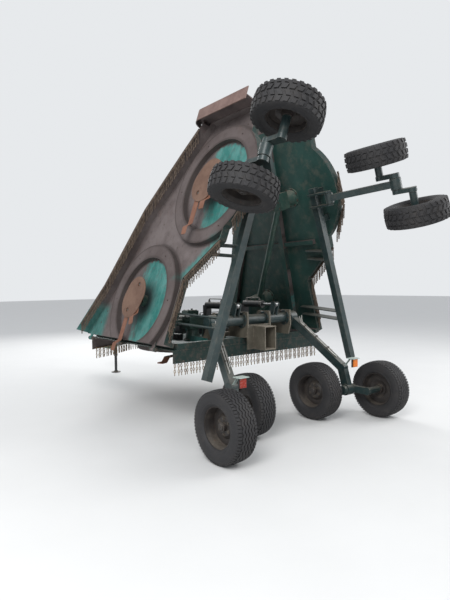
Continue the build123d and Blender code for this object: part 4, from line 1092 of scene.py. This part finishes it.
LAMP_X = (0.960, 1.040)
LAMP_Z = (0.700, 0.8077)
LAMP_FACE_Y = 0.125
LENS_RIBS = 8
RIB_SECTION = [(0.0, 0.0), (0.15, 0.0022), (0.5, 0.0032), (0.85, 0.0022), (1.0, 0.0)]
HOUSING_RUN = [(0.143, 0.0035), (0.146, 0.005), (0.166, 0.005), (0.168, 0.003), (0.168, -0.004),
               (0.143, -0.004)]
for side, sign in SIDES.items():
    ribs, housing = bmesh.new(), bmesh.new()
    (x0, x1), (z0, z1) = LAMP_X, LAMP_Z
    wide = (x1 - x0 - 0.010) / LENS_RIBS
    for k in range(LENS_RIBS):
        x = x0 + 0.005 + wide * k
        loft(ribs, [[at(sign * (x + wide * t), LAMP_FACE_Y + 0.0004 - depth, z) for t, depth in RIB_SECTION]
                    for z in (z0 + 0.005, z1 - 0.006)], caps=True)
    rings = []
    for y, out in HOUSING_RUN:
        low, high = z0 - out, z1 + min(out, 0.0)
        corners = ((x0 - out, low), (x1 + out, low), (x1 + out, high), (x0 - out, high))
        rings.append([at(sign * x, y, z) for x, z in corners])
    loft(housing, rings, closed_run=True)
    piece(f"lens_ribs_{side}", ribs, "red" if side == "left" else "amber", "lift_axle")
    piece(f"lamp_housing_{side}", housing, "black", "lift_axle")


# Drive line, hitch and jack

PTO_START, PTO_END = at(0, 3.420, 1.290), at(0, 5.830, 0.830)
GUARD_CONE = [(0, 0.0475), (0, 0.052), (0.012, 0.056), (0.024, 0.054), (0.036, 0.064), (0.050, 0.062),
              (0.064, 0.074), (0.080, 0.072), (0.098, 0.086), (0.118, 0.088), (0.118, 0.084),
              (0.098, 0.080), (0.060, 0.062), (0.020, 0.0475)]
TONGUE_END = 5.950
JACK = (0.170, 5.600)
mesh = bmesh.new()
along = (PTO_END - PTO_START).normalized()
for place, axis in ((PTO_START + along * 0.125, -along), (PTO_END - along * 0.125, along)):
    collar(mesh, place, axis, GUARD_CONE, 28)
piece("drive_guard_cones", mesh, "guard", "deck")
mesh = bmesh.new()
for x in (-0.053, 0.053):
    for z in (0.548, 0.652):
        bolt(mesh, at(x, TONGUE_END + 0.025, z), NORTH, 0.009)
for sign in (-1, 1):
    for z in (1.160, 1.235):
        bolt(mesh, at(sign * 0.610, 3.680, z), EAST * sign, 0.012)
for z in (0.620, 0.580):
    bolt(mesh, at(JACK[0] - 0.030, JACK[1] - 0.040, z), -NORTH, 0.009)
sleeve(mesh, at(*JACK, 0.360), UP, -0.010, 0.016, 0.0285, 0.040, 0.003, 20)
sleeve(mesh, at(*JACK, 0.012), UP, 0.0, 0.020, 0.0275, 0.044, 0.004, 20)
piece("hitch_bolts", mesh, "bolt", "deck")


# Floor, lights and camera

def floor():
    mesh = bmesh.new()
    size = 60.0
    for corner in ((-size, -size), (size, -size), (size, size), (-size, size)):
        mesh.verts.new((*corner, 0.0))
    mesh.faces.new(mesh.verts)
    obj = mesh_object("floor", mesh)
    look = Look("pale_floor")
    tone = look.mix(look.noise(1.5), (0.66, 0.66, 0.65), (0.70, 0.70, 0.69))
    set_material(obj, look.finish(tone, 0.9))


def world():
    made = bpy.data.worlds.new("studio")
    bpy.context.scene.world = made
    made.use_nodes = True
    nodes, join = made.node_tree.nodes, made.node_tree.links.new
    shown = nodes.new("ShaderNodeBackground")
    shown.inputs["Color"].default_value = (0.80, 0.82, 0.84, 1)
    lit = nodes["Background"]
    lit.inputs["Color"].default_value = (0.92, 0.95, 1.0, 1)
    lit.inputs["Strength"].default_value = 0.75
    path = nodes.new("ShaderNodeLightPath")
    mix = nodes.new("ShaderNodeMixShader")
    seen = path.outputs["Is Camera Ray"]
    for ray in ("Is Glossy Ray", "Is Transmission Ray"):
        either = nodes.new("ShaderNodeMath")
        either.operation = "MAXIMUM"
        join(seen, either.inputs[0])
        join(path.outputs[ray], either.inputs[1])
        seen = either.outputs[0]
    join(seen, mix.inputs[0])
    join(lit.outputs[0], mix.inputs[1])
    join(shown.outputs[0], mix.inputs[2])
    join(mix.outputs[0], nodes["World Output"].inputs["Surface"])


def lamp(name, place, aim, size, power):
    data = bpy.data.lights.new(name, "AREA")
    data.size = size
    data.energy = power
    obj = new_object(name, data)
    obj.location = place
    obj.rotation_euler = (Vector(aim) - Vector(place)).to_track_quat("-Z", "Y").to_euler()


def camera():
    """The photograph's camera, fitted to the wheels, the ground and the mirror pairs of the wings."""
    place = at(-4.424, -3.824, 1.819)
    yaw, pitch, roll = math.radians(38.817), math.radians(1.766), math.radians(-0.613)
    ahead = Vector((math.sin(yaw) * math.cos(pitch), math.cos(yaw) * math.cos(pitch), -math.sin(pitch)))
    right = Vector((math.cos(yaw), -math.sin(yaw), 0))
    up = right.cross(ahead)
    right, up = right * math.cos(roll) + up * math.sin(roll), up * math.cos(roll) - right * math.sin(roll)
    data = bpy.data.cameras.new("camera")
    data.sensor_width = 36.0
    data.lens = 36.0 * 484.0 / 600.0
    data.clip_end = 200.0
    obj = new_object("camera", data)
    obj.matrix_world = Matrix.Translation(place) @ Matrix((right, up, -ahead)).transposed().to_4x4()
    bpy.context.scene.camera = obj


floor()
world()
lamp("key", (-8.0, -7.0, 8.0), (0, 0, 1.5), 5.0, 900.0)
lamp("fill", (7.0, -6.0, 6.0), (0, 0, 1.5), 6.0, 420.0)
lamp("back", (3.0, 9.0, 7.0), (0, 0, 1.5), 5.0, 500.0)
camera()
bpy.context.scene.view_settings.view_transform = "Standard"
